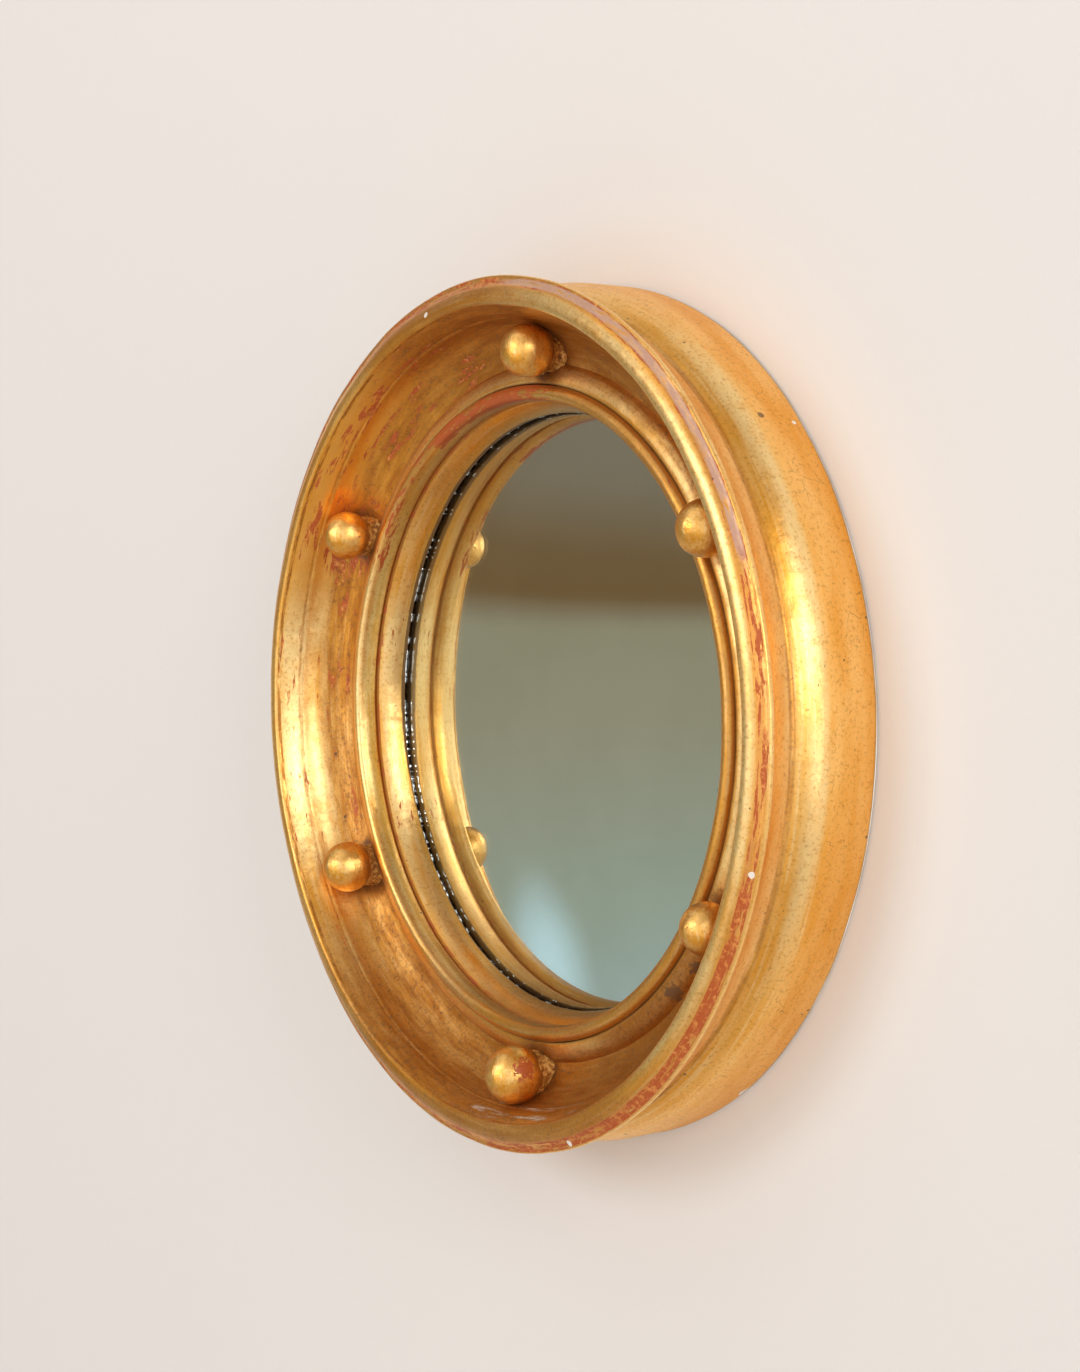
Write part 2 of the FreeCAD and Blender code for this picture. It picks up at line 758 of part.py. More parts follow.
def make_hanger_ring():
    """D-shaped ring of round wire, its straight bar in the knuckle, standing up."""
    body = new_body("hanger_ring")
    half = size.ring_width / 2 - wire_radius
    top = size.ring_height - wire_radius
    path = new_sketch(body, "ring_path", "XZ_Plane")
    draw_outline(path, [
        (half - size.ring_corner, ZERO),
        (half, size.ring_corner, size.ring_corner, 1),
        (half, top - size.ring_shoulder),
        (half - size.ring_shoulder, top, size.ring_shoulder, 1),
        (size.ring_shoulder - half, top),
        (-half, top - size.ring_shoulder, size.ring_shoulder, 1),
        (-half, size.ring_corner),
        (size.ring_corner - half, ZERO, size.ring_corner, 1),
        (ZERO, ZERO),
    ])
    wire = new_sketch(body, "ring_wire", "YZ_Plane")
    draw_circles(wire, [(ZERO, ZERO)], wire_radius)
    pipe = body.newObject("PartDesign::AdditivePipe", "ring_bent")
    pipe.Profile = wire
    pipe.Spine = path
    body.Tip = pipe
    move_to(body, ZERO, -knuckle_depth, knuckle_height)
    return body


# ---------------------------------------------------------------- build, check, write

def check(pieces):
    doc.recompute()
    bad = [item.Name for item in doc.Objects
           if "Invalid" in item.State or "Error" in item.State]
    for piece in pieces:
        shape = piece.Shape
        if shape.isNull() or not shape.isValid() or shape.Volume <= 0:
            bad.append(piece.Name)
    if bad:
        raise ValueError("failed: %s" % ", ".join(bad))


def main():
    pieces = [
        make_frame_ring(),
        make_sight_ring(),
        curved_disc("mirror_glass", size.glass_radius, glass_back_radius),
        curved_disc("silvering", silver_front_radius, silver_back_radius),
        make_packing_ring(),
        make_backboard(),
        make_brads(),
        make_ball_dowels(),
        make_hanger_plate(),
        make_hanger_screws(),
        make_hanger_ring(),
    ]
    for ball in BALLS:
        pieces.append(make_ball(ball))
        pieces.append(make_ball_collar(ball))

    check(pieces)
    os.makedirs("parts", exist_ok=True)
    for piece in pieces:
        piece.Shape.exportStep("parts/%s.step" % piece.Label)
        print("%-18s %d solids %10.2f mm3" % (
            piece.Label, len(piece.Shape.Solids), piece.Shape.Volume))


main()
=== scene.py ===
import math

import bmesh
import bpy
from mathutils import Matrix, Vector


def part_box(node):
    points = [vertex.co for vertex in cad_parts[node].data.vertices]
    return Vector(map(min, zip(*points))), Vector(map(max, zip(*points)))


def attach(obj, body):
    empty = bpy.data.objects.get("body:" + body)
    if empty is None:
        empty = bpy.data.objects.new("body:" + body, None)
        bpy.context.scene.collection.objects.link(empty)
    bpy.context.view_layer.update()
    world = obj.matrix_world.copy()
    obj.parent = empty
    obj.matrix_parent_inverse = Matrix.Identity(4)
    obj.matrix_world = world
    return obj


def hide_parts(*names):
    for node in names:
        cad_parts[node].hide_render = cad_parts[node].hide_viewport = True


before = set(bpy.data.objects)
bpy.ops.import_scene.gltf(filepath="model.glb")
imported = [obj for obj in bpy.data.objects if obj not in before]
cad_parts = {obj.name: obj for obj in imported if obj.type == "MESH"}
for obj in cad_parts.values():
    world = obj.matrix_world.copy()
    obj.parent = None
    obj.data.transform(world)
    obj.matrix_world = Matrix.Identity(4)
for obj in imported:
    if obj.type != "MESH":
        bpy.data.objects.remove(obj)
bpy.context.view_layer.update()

# ---------------------------------------------------------------- sizes, in metres

MM = 0.001
FULL_TURN = 2 * math.pi

GLASS_RADIUS = 570 * MM          # sphere that the mirror's front belongs to
GLASS_THICKNESS = 2 * MM
GLASS_EDGE = 95.47 * MM
SIGHT_RADIUS = 86.77 * MM        # clear opening in front of the glass
SIGHT_DEPTH = 10.7 * MM          # glass front at the sight edge, from the wall
GLASS_CENTRE = SIGHT_DEPTH - math.sqrt(GLASS_RADIUS ** 2 - SIGHT_RADIUS ** 2)
SILVER_GAP = 0.1 * MM
SILVER_THICKNESS = 0.25 * MM

BALL_CIRCLE = 104.02 * MM        # circle that the balls stand on
BALL_FOOT = 22.5 * MM            # lowest point of every ball, from the wall
# ball: (angle in degrees, radius in millimetres)
BALLS = {1: (85.5, 7.8), 2: (150.2, 7.3), 3: (209.6, 7.75),
         4: (270.6, 8.5), 5: (329.2, 7.4), 6: (30.6, 7.9)}
LOWEST_BALL = 4

RECESS_HALF = 10.25 * MM         # recess for the hanger: half its width, its lower and upper end
RECESS_FOOT = 104.17 * MM
RECESS_HEAD = 121.55 * MM
RECESS_DEPTH = 6.2 * MM
BRAD_CIRCLE = 99.82 * MM
BRAD_HEAD = 1.5 * MM
BRAD_SHANK = 0.7 * MM
SLIVER_CIRCLE = 86.82 * MM
SLIVER_DEPTH = 11.0              # depth and half sizes in millimetres
SLIVER_HALF = (0.16, 0.26, 0.7)
MIDDLE_RADIUS = 110 * MM         # at which marks round the ring have their written length
WALL_HOLE = 122.8 * MM
WALL_GAP = 0.5 * MM
FLOOR_LEVEL = -1.4

# corners of a section: (name, radius, depth, bend, spacing), in millimetres from the axis and the wall
# the bend is the radius of the arc that leads there: above zero bulges, below zero hollows, zero is straight
FRAME_SECTION = (
    ("rebate", 97.07, 15.4, 0, 9),
    ("rebate_back", 97.07, 5.457, 0, 9),
    ("board_step", 102.57, 5.457, 0, 9),
    ("back_bore", 102.57, 0.4, 0, 9),
    ("back_inner", 102.97, 0, 0.4, 0.4),
    ("back", 122.9, 0, 0, 2.4),
    ("back_edge", 123.52, 0.6, 0.6, 0.3),
    ("side", 123.9, 12.8, 0, 1.0),
    ("ovolo", 122.08, 20.6, 17.6, 0.5),
    ("waist", 119.0, 25.0, 17.6, 0.6),
    ("arris_low", 124.77, 35.7, -14, 0.8),
    ("arris", 124.77, 37.3, 1.5, 0.35),
    ("fillet", 122.17, 38.6, -3.4, 0.4),
    ("bead", 117.6, 40.35, 5.2, 0.4),
    ("bead_inner", 116.45, 39.55, 1.15, 0.3),
    ("quirk", 116.3, 39.15, 0, 0.3),
    ("slope", 113.5, 33.5, 24, 0.5),
    ("crease", 113.12, 32.75, -0.9, 0.3),
    ("hollow", 100.77, 20.95, -14, 0.7),
    ("band", 95.05, 24.2, 7, 0.6),
    ("band_edge", 94.72, 23.9, 0.3, 0.2),
    ("bore", 94.72, 15.4, 0, 2),
    ("rebate_end", 97.07, 15.4, 0, 9),
)
RING_SECTION = (
    ("flange", 96.97, 15.3, 0, 9),
    ("flange_front", 94.57, 15.3, 0, 9),
    ("shoulder", 94.57, 24.2, 0, 1),
    ("reed", 90.47, 25.6, 2.55, 0.35),
    ("reed_side", 90.47, 19.56, 9, 0.5),
    ("groove", 91.02, 19.21, 0, 0.35),
    ("groove_end", 90.47, 18.86, 0, 0.35),
    ("cove", 86.77, 11.25, 13, 0.5),
    ("lip", 87.1, 10.85, 0.4, 0.2),
    ("lip_back", 96.97, 9.25, -570.1, 2),
    ("flange_end", 96.97, 15.3, 0, 9),
)

# marks on the frame: (angle in degrees, radius, depth, size and raggedness if not 0.4)
FRAME_CHIPS = ((104.2, 119.3, 40.3, 1.0), (343, 123.6, 38, 1.1), (287.8, 123.6, 38, 1.1),
               (304, 123.6, 0.4, 2.2), (41, 123.8, 3.0, 0.8))
FRAME_SPOTS = ((42, 123.9, 13.5, 1.1), (311.8, 98.6, 22.4, 2.8, 0.9), (318.5, 100.2, 21.4, 2.6, 1.2))

# slivers of silvering: (name, count, first angle and arc in degrees, greatest length, seed)
SLIVERS = (("silver_slivers_left", 46, 150, 82, 1.8, 4), ("silver_slivers_round", 120, 0, 360, 0.9, 9),
           ("silver_slivers_long", 7, 152, 64, 4.5, 12))

# ---------------------------------------------------------------- light and camera

# lamps that point at the mirror: (name, place, width, height, power, colour)
LAMPS = (("window_lamp", (1.66, -0.62, 0.56), 0.5, 0.8, 8.5, (1.0, 0.985, 0.965)),
         ("side_lamp", (1.80, -0.16, 0.08), 0.22, 1.3, 3.4, (1.0, 0.985, 0.965)),
         ("front_lamp", (-0.45, -1.8, 0.50), 0.9, 0.8, 7, (1.0, 0.985, 0.97)),
         ("ceiling_lamp", (-0.3, -1.0, 1.4), 1.0, 0.8, 2, (1.0, 0.97, 0.94)),
         ("back_lamp", (0.4, 1.6, 0.8), 1.2, 1.2, 16, (1.0, 0.98, 0.96)))

# dim part of the room, which the glass reflects: (height, from 0 straight down to 1 straight up; colour)
ROOM_BY_HEIGHT = (
    (0.18, (0.40, 0.33, 0.25, 1)),
    (0.29, (0.38, 0.38, 0.34, 1)),
    (0.34, (0.36, 0.43, 0.42, 1)),
    (0.38, (0.34, 0.39, 0.335, 1)),
    (0.47, (0.33, 0.30, 0.22, 1)),
    (0.513, (0.31, 0.28, 0.20, 1)),
    (0.528, (0.185, 0.11, 0.05, 1)),
    (0.548, (0.19, 0.12, 0.06, 1)),
    (0.58, (0.22, 0.18, 0.13, 1)),
    (0.64, (0.24, 0.20, 0.16, 1)),
    (1.0, (0.55, 0.52, 0.48, 1)),
)
ROOM_SLOPE, ROOM_LOWERED = -0.067, -0.052
PANE_TOWARDS, PANE_COLOUR = (-0.827, -0.497, -0.280), (0.58, 0.76, 0.84, 1)
RIGHT_OF, RIGHT_COLOUR = (0.883, -0.469, 0.0), (0.47, 0.42, 0.36, 1)
BESIDE_WALL, BESIDE_COLOUR = (-0.174, 0.985, 0.0), (0.90, 0.84, 0.75, 1)
FRONT_OF, BRIGHT_COLOUR = (-0.259, -0.966, 0.0), (1.02, 0.995, 0.98, 1)

CAMERA_PLACE = (0.7447, -0.5460, 0.0491)
CAMERA_AROUND = 54.794           # angles in degrees: round the mirror from the front, above it, and roll
CAMERA_OVER = 2.591
CAMERA_ROLL = -0.209
CAMERA_LENS = 82.84
CAMERA_SENSOR = 36

# ---------------------------------------------------------------- colours, linear

LEAF_LIGHT = (1.0, 0.72, 0.33, 1)
LEAF = (0.97, 0.57, 0.165, 1)
LEAF_DEEP = (0.87, 0.40, 0.050, 1)
# brown of the glaze, also the colour of painted shade on the frame and the sight ring
GLAZE_AND_SHADE_BROWN = (0.40, 0.135, 0.012, 1)
# dark of dirt, also the colour of painted shade under the balls and at the lip round the glass
DIRT_AND_SHADE = (0.10, 0.040, 0.012, 1)
# paler leaf for painted highlights on high places where the lamps shine, partly rubbed leaf
LEAF_RUBBED_HIGHLIGHT = (1.0, 0.74, 0.34, 1)
BOLE = (0.50, 0.100, 0.016, 1)
BOLE_PALE = (0.78, 0.31, 0.070, 1)
GESSO = (0.56, 0.36, 0.27, 1)
GESSO_GREY = (0.58, 0.50, 0.43, 1)
GESSO_WHITE = (0.84, 0.78, 0.70, 1)
OCHRE_WASH = (0.42, 0.25, 0.085, 1)
RAW_WOOD = (0.52, 0.36, 0.19, 1)
OLD_STAIN = (0.20, 0.105, 0.042, 1)

# ---------------------------------------------------------------- nodes


def put(tree, kind, inputs=None, **settings):
    """Puts a node down in a tree, sets it, and feeds its inputs with values or sockets."""
    node = tree.nodes.new(kind)
    for name, value in settings.items():
        setattr(node, name, value)
    for name, value in (inputs or {}).items():
        socket = node.inputs[name]
        if isinstance(value, bpy.types.NodeSocket):
            tree.links.new(value, socket)
        else:
            socket.default_value = value
    return node


def maths(tree, work, first, second=None, third=None, clamp=False):
    """One sum on one to three values."""
    given = {number: value for number, value in enumerate((first, second, third)) if value is not None}
    return put(tree, "ShaderNodeMath", given, operation=work, use_clamp=clamp).outputs[0]


def vector_maths(tree, work, first, second=None):
    """One sum on vectors."""
    given = {number: value for number, value in enumerate((first, second)) if value is not None}
    return put(tree, "ShaderNodeVectorMath", given, operation=work)


def scaled(tree, vector, factor):
    """The vector made longer by a factor."""
    return put(tree, "ShaderNodeVectorMath", {0: vector, "Scale": factor}, operation="SCALE").outputs[0]


def rise(tree, value, low, high):
    """0 below low and 1 above high, smooth between them; the other way round if low is the higher one."""
    inputs = {"Value": value, "From Min": min(low, high), "From Max": max(low, high)}
    inputs["To Min"] = 0.0 if low < high else 1.0
    inputs["To Max"] = 1.0 - inputs["To Min"]
    return put(tree, "ShaderNodeMapRange", inputs, interpolation_type="SMOOTHSTEP").outputs["Result"]


def between(tree, value, low, high, soft):
    """1 from low to high, fading out over a soft width on both sides."""
    return both(tree, rise(tree, value, low - soft, low), rise(tree, value, high + soft, high))


def grain(tree, place, size, detail=2.0, roughness=0.5, distortion=0.0):
    """Soft random value, about 0.5, whose patches are of a size in metres."""
    inputs = {"Vector": place, "Scale": 1 / size, "Detail": detail, "Roughness": roughness,
              "Distortion": distortion}
    return put(tree, "ShaderNodeTexNoise", inputs).outputs["Fac"]


def mixed(tree, factor, first, second):
    """First colour where the factor is 0, second where it is 1."""
    return put(tree, "ShaderNodeMix", {0: factor, 6: first, 7: second}, data_type="RGBA").outputs[2]


def either(tree, *masks):
    """The strongest of several masks."""
    strongest = masks[0]
    for mask in masks[1:]:
        strongest = maths(tree, "MAXIMUM", strongest, mask)
    return strongest


def both(tree, *masks):
    """The product of several masks."""
    product = masks[0]
    for mask in masks[1:]:
        product = maths(tree, "MULTIPLY", product, mask)
    return product


def weighed(tree, value, factor, base):
    """A value times a factor, on top of a base."""
    return maths(tree, "MULTIPLY_ADD", value, factor, base)


def left_over(tree, mask):
    """What a mask leaves over: 1 where it is 0."""
    return maths(tree, "SUBTRACT", 1.0, mask)


def new_finish(name):
    """Empty material, its tree and its Object coordinates."""
    material = bpy.data.materials.new(name)
    material.use_nodes = True
    tree = material.node_tree
    tree.nodes.clear()
    return material, tree, put(tree, "ShaderNodeTexCoord").outputs["Object"]


def finish_surface(tree, **inputs):
    """The shader and the output of a material."""
    named = {name.replace("_", " "): value for name, value in inputs.items()}
    shader = put(tree, "ShaderNodeBsdfPrincipled", named)
    put(tree, "ShaderNodeOutputMaterial", {"Surface": shader.outputs[0]})


def raised(tree, height, distance, strength=1.0, under=None):
    """Relief from a height of 0 to 1 that stands a distance in metres."""
    inputs = {"Height": height, "Distance": distance, "Strength": strength}
    if under is not None:
        inputs["Normal"] = under
    return put(tree, "ShaderNodeBump", inputs).outputs["Normal"]


# ---------------------------------------------------------------- meshes


def set_up(name, data):
    """New object in the scene, of a mesh, a lamp or a camera."""
    thing = bpy.data.objects.new(name, data)
    bpy.context.scene.collection.objects.link(thing)
    return thing


def mesh_of(form, name):
    """Named mesh of a form that is ready."""
    mesh = bpy.data.meshes.new(name)
    form.to_mesh(mesh)
    form.free()
    return mesh


def worked_mesh(piece):
    """Plain mesh of a piece as its modifiers leave it."""
    depsgraph = bpy.context.evaluated_depsgraph_get()
    return bpy.data.meshes.new_from_object(
        piece.evaluated_get(depsgraph), preserve_all_data_layers=True, depsgraph=depsgraph)


def circle(radius, y, count, first=0.0):
    """Points round the Y axis."""
    angles = [first + FULL_TURN * n / count for n in range(count)]
    return [(radius * math.cos(a), y, radius * math.sin(a)) for a in angles]


def on_circle(radius, angle, depth):
    """Place at a radius, an angle in degrees round the mirror's axis, and a depth from the wall."""
    turn_to = math.radians(angle)
    return radius * math.cos(turn_to), -depth, radius * math.sin(turn_to)


# ---------------------------------------------------------------- turned pieces


def arc_points(start, end, bend, count):
    """Points of an arc from start to end, without the start."""
    chord = end - start
    side = Vector((-chord.y, chord.x)).normalized() * (1 if bend > 0 else -1)
    half = chord.length / 2
    centre = (start + end) / 2 + side * math.sqrt(bend * bend - half * half)
    first = math.atan2(start.y - centre.y, start.x - centre.x)
    sweep = 2 * math.asin(half / abs(bend)) * (1 if bend > 0 else -1)
    angles = [first + sweep * number / count for number in range(1, count + 1)]
    return [centre + abs(bend) * Vector((math.cos(a), math.sin(a))) for a in angles]


def trace_section(corners):
    """Points (radius, length along the section, depth) in metres, and the length at each named corner."""
    name, radius, depth, _, _ = corners[0]
    here = Vector((radius, depth))
    line = [here]
    ends = {name: 0}
    for name, radius, depth, bend, spacing in corners[1:]:
        goal = Vector((radius, depth))
        count = max(1, round((goal - here).length / spacing))
        if bend:
            line += arc_points(here, goal, bend, count)
        else:
            line += [here.lerp(goal, number / count) for number in range(1, count + 1)]
        here = goal
        ends[name] = len(line) - 1
    lengths = [0.0]
    for before, after in zip(line, line[1:]):
        lengths.append(lengths[-1] + (after - before).length)
    points = [Vector((p.x, length, p.y)) * MM for p, length in zip(line, lengths)]
    return points, {name: lengths[number] * MM for name, number in ends.items()}


def turning_tree():
    """Node tree that turns a section round the mirror's axis, with the unevenness of handwork."""
    tree = bpy.data.node_groups.new("turning", "GeometryNodeTree")
    sockets = (("Section", "Geometry"), ("Points along", "Int"), ("Points round", "Int"),
               ("Waviness", "Float"), ("Wave size", "Float"), ("Roughness", "Float"),
               ("Rough size", "Float"), ("Seed", "Float"), ("Finish", "Material"))
    for name, kind in sockets:
        tree.interface.new_socket(name, in_out="INPUT", socket_type="NodeSocket" + kind)
    tree.interface.new_socket("Piece", in_out="OUTPUT", socket_type="NodeSocketGeometry")
    given = put(tree, "NodeGroupInput").outputs

    one_more = maths(tree, "ADD", given["Points round"], 1)
    grid = put(tree, "GeometryNodeMeshGrid", {"Size X": 1.0, "Size Y": 1.0, "Vertices X": one_more,
                                              "Vertices Y": given["Points along"]}).outputs["Mesh"]
    spot = put(tree, "ShaderNodeSeparateXYZ", {0: put(tree, "GeometryNodeInputPosition").outputs[0]}).outputs
    angle = both(tree, maths(tree, "ADD", spot["X"], 0.5), FULL_TURN)
    last = maths(tree, "SUBTRACT", given["Points along"], 1)
    row = maths(tree, "ROUND", both(tree, maths(tree, "ADD", spot["Y"], 0.5), last))
    traced = put(tree, "GeometryNodeSampleIndex", {"Geometry": given["Section"], "Index": row},
                 data_type="FLOAT_VECTOR")
    tree.links.new(put(tree, "GeometryNodeInputPosition").outputs[0], traced.inputs["Value"])
    corner = put(tree, "ShaderNodeSeparateXYZ", {0: traced.outputs["Value"]}).outputs

    turned = place_round(tree, corner["X"], angle, both(tree, corner["Z"], -1))
    waves = uneven(tree, turned, given["Waviness"], given["Wave size"], given["Seed"], 1.0)
    rough = uneven(tree, turned, given["Roughness"], given["Rough size"], given["Seed"], 3.0)
    worked = vector_maths(tree, "ADD", turned, vector_maths(tree, "ADD", waves, rough).outputs[0])

    named = put(tree, "GeometryNodeStoreNamedAttribute",
                {"Geometry": grid, "Name": "along_section", "Value": corner["Y"]},
                data_type="FLOAT", domain="POINT").outputs["Geometry"]
    placed = put(tree, "GeometryNodeSetPosition",
                 {"Geometry": named, "Position": worked.outputs[0]}).outputs["Geometry"]
    closed = put(tree, "GeometryNodeMergeByDistance",
                 {"Geometry": placed, "Distance": 0.002 * MM}).outputs["Geometry"]
    smooth = put(tree, "GeometryNodeSetShadeSmooth", {"Geometry": closed}).outputs["Geometry"]
    real = put(tree, "GeometryNodeRealizeInstances", {"Geometry": smooth}).outputs["Geometry"]
    done = put(tree, "GeometryNodeSetMaterial", {"Geometry": real, "Material": given["Finish"]})
    put(tree, "NodeGroupOutput", {"Piece": done.outputs["Geometry"]})
    return tree


def place_round(tree, radius, angle, out):
    """Place at a radius and an angle round the mirror's axis."""
    across = both(tree, radius, maths(tree, "COSINE", angle))
    up = both(tree, radius, maths(tree, "SINE", angle))
    return put(tree, "ShaderNodeCombineXYZ", {"X": across, "Y": out, "Z": up}).outputs[0]


def uneven(tree, place, amount, size, seed, detail):
    """Small shift of each point, the same for the same seed."""
    there = vector_maths(tree, "DIVIDE", place, size).outputs[0]
    cloud = put(tree, "ShaderNodeTexNoise", {"Vector": there, "W": seed, "Scale": 1.0, "Detail": detail},
                noise_dimensions="4D").outputs["Color"]
    shift = vector_maths(tree, "SUBTRACT", cloud, (0.5, 0.5, 0.5)).outputs[0]
    return scaled(tree, shift, amount)


def ring_tree():
    """Node tree that sets copies of one small piece round the mirror's axis."""
    tree = bpy.data.node_groups.new("ring_of_small_pieces", "GeometryNodeTree")
    sockets = (("Small piece", "Geometry"), ("Count", "Int"), ("Radius", "Float"),
               ("First angle", "Float"), ("Arc", "Float"), ("Loose angle", "Float"),
               ("Loose place", "Vector"), ("Least size", "Vector"), ("Most size", "Vector"),
               ("Seed", "Int"), ("Finish", "Material"))
    for name, kind in sockets:
        tree.interface.new_socket(name, in_out="INPUT", socket_type="NodeSocket" + kind)
    tree.interface.new_socket("Ring", in_out="OUTPUT", socket_type="NodeSocketGeometry")
    given = put(tree, "NodeGroupInput").outputs

    index = put(tree, "GeometryNodeInputIndex").outputs[0]
    step = maths(tree, "DIVIDE", given["Arc"], given["Count"])
    seed = given["Seed"]
    loose = put(tree, "FunctionNodeRandomValue", {2: -1.0, 3: 1.0, "Seed": seed}, data_type="FLOAT")
    angle = weighed(tree, index, step, given["First angle"])
    angle = weighed(tree, loose.outputs[1], given["Loose angle"], angle)
    on_ring = place_round(tree, given["Radius"], angle, 0.0)
    aside = put(tree, "FunctionNodeRandomValue", {0: (-1.0, -1.0, -1.0), 1: (1.0, 1.0, 1.0), "Seed": seed},
                data_type="FLOAT_VECTOR").outputs[0]
    aside = vector_maths(tree, "MULTIPLY", aside, given["Loose place"]).outputs[0]
    spot = vector_maths(tree, "ADD", on_ring, aside).outputs[0]
    points = put(tree, "GeometryNodePoints", {"Count": given["Count"], "Position": spot}).outputs[0]
    turn_to = put(tree, "ShaderNodeCombineXYZ", {"X": 0.0, "Y": both(tree, angle, -1), "Z": 0.0}).outputs[0]
    size = put(tree, "FunctionNodeRandomValue", {0: given["Least size"], 1: given["Most size"], "Seed": seed},
               data_type="FLOAT_VECTOR").outputs[0]
    set_out = put(tree, "GeometryNodeInstanceOnPoints",
                  {"Points": points, "Instance": given["Small piece"], "Rotation": turn_to,
                   "Scale": size}).outputs["Instances"]
    real = put(tree, "GeometryNodeRealizeInstances", {"Geometry": set_out}).outputs["Geometry"]
    done = put(tree, "GeometryNodeSetMaterial", {"Geometry": real, "Material": given["Finish"]})
    put(tree, "NodeGroupOutput", {"Ring": done.outputs["Geometry"]})
    return tree


def run_tree(name, tree, mesh, values):
    """The plain mesh object that a node tree makes of a mesh, with the tree's inputs set by name."""
    blank = set_up(name + "_blank", mesh)
    modifier = blank.modifiers.new("making", "NODES")
    modifier.node_group = tree
    sockets = {item.name: item.identifier for item in tree.interface.items_tree if item.in_out == "INPUT"}
    for key, value in values.items():
        modifier[sockets[key]] = value
    made = worked_mesh(blank)
    bpy.data.objects.remove(blank)
    # the blank's empty slot would leave the faces of a later cut without a finish
    if made.materials[0] is None:
        made.materials.pop(index=0)
    made.name = name
    return set_up(name, made)


def turn(name, points, round_count, finish, waves=(0.0, 0.02), rough=(0.0, 0.004), seed=0.0, sharp=50):
    """Turned piece round the mirror's axis from the points of its section."""
    mesh = bpy.data.meshes.new(name + "_section")
    mesh.from_pydata([tuple(p) for p in points], [], [])
    piece = run_tree(name, TURNING, mesh, {
        "Points along": len(points), "Points round": round_count,
        "Waviness": waves[0], "Wave size": waves[1], "Roughness": rough[0], "Rough size": rough[1],
        "Seed": seed, "Finish": finish})
    turn_outwards(piece.data)
    piece.data.set_sharp_from_angle(angle=math.radians(sharp))
    return piece


def turn_outwards(mesh):
    """Makes all faces of a closed mesh point outwards."""
    form = bmesh.new()
    form.from_mesh(mesh)
    bmesh.ops.recalc_face_normals(form, faces=form.faces)
    form.to_mesh(mesh)
    form.free()


def join_frame(piece, body, slot, *nodes):
    """Ties a finished piece to its body and hides the nodes that it stands for; its slot is not used."""
    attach(piece, body)
    if nodes:
        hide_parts(*nodes)


# ---------------------------------------------------------------- gilding


def ring_place(tree, place):
    """Radius, the direction round the axis as two values, and Y, of a point on a turned ring."""
    part = put(tree, "ShaderNodeSeparateXYZ", {0: place}).outputs
    square = maths(tree, "ADD", both(tree, part["X"], part["X"]), both(tree, part["Z"], part["Z"]))
    radius = maths(tree, "SQRT", square)
    across, up = maths(tree, "DIVIDE", part["X"], radius), maths(tree, "DIVIDE", part["Z"], radius)
    return radius, across, up, part["Y"]


class TurnedFace:
    """Surface of a turned ring: where its points lie, and its patterns, with sizes in millimetres."""

    def __init__(self, tree, place, at, streak, tone, smear, cloud, crumbs):
        self.tree, self.place, self.at = tree, place, at
        self.along = put(tree, "ShaderNodeAttribute", attribute_name="along_section").outputs["Fac"]
        _, self.across, self.up, self.behind = ring_place(tree, place)
        self.streak = self.drawn(*streak, 4, 0.6)
        self.tone = self.drawn(*tone, 3)
        self.smear = self.drawn(*smear, 4, 0.6)
        self.cloud = grain(tree, place, cloud * MM, 4, 0.6)
        self.crumbs = grain(tree, place, crumbs * MM, 4, 0.65)

    def drawn(self, length, width, detail, roughness=0.5):
        """Random value whose marks run round the ring: a length long and a width wide."""
        around = MIDDLE_RADIUS / (length * MM)
        there = put(self.tree, "ShaderNodeCombineXYZ", {
            "X": both(self.tree, self.across, around), "Y": both(self.tree, self.up, around),
            "Z": both(self.tree, self.along, 1 / (width * MM))}).outputs[0]
        return grain(self.tree, there, 1.0, detail, roughness)

    def span(self, start, before, end, after, soft):
        """1 between two named corners of the section, each moved along it, with soft ends."""
        low, high = self.at[start] + before * MM, self.at[end] + after * MM
        return between(self.tree, self.along, low, high, soft * MM)

    def stretch(self, start, end, soft=6):
        """1 from one angle to another round the ring, in degrees, fading out past its ends."""
        middle, half = math.radians(start + end) / 2, abs(end - start) / 2
        near = maths(self.tree, "ADD", both(self.tree, self.across, math.cos(middle)),
                     both(self.tree, self.up, math.sin(middle)))
        far = math.cos(math.radians(min(179, half + soft)))
        return rise(self.tree, near, far, math.cos(math.radians(half)))

    def blot(self, angle, radius, depth, size, ragged=0.4):
        """Ragged round patch at an angle in degrees, a radius and a depth."""
        middle = on_circle(radius * MM, angle, depth * MM)
        away = vector_maths(self.tree, "DISTANCE", self.place, middle).outputs["Value"]
        edge = both(self.tree, maths(self.tree, "SUBTRACT", grain(self.tree, self.place, 1.5 * MM, 3), 0.5),
                    2 * ragged * size * MM)
        return rise(self.tree, maths(self.tree, "ADD", away, edge), size * MM, size * 0.8 * MM)


def specks(tree, place, size, share, reach):
    """Small round spots, one to a cell of a size in metres, in a share of the cells."""
    cells = put(tree, "ShaderNodeTexVoronoi", {"Vector": place, "Scale": 1 / size, "Randomness": 1.0})
    lot = put(tree, "ShaderNodeSeparateColor", {0: cells.outputs["Color"]}).outputs
    spot = maths(tree, "LESS_THAN", cells.outputs["Distance"], both(tree, lot[1], reach))
    return both(tree, spot, maths(tree, "LESS_THAN", lot[0], share))


def hairlines(tree, place, size, width):
    """Thin crooked cracks round fields of a size in metres."""
    shaken = put(tree, "ShaderNodeTexNoise", {"Vector": place, "Scale": 1.6 / size, "Detail": 3.0})
    shift = vector_maths(tree, "SUBTRACT", shaken.outputs["Color"], (0.5, 0.5, 0.5)).outputs[0]
    there = vector_maths(tree, "ADD", place, scaled(tree, shift, size * 0.6)).outputs[0]
    cells = put(tree, "ShaderNodeTexVoronoi", {"Vector": there, "Scale": 1 / size},
                feature="DISTANCE_TO_EDGE")
    return rise(tree, cells.outputs["Distance"], width, width * 0.35)


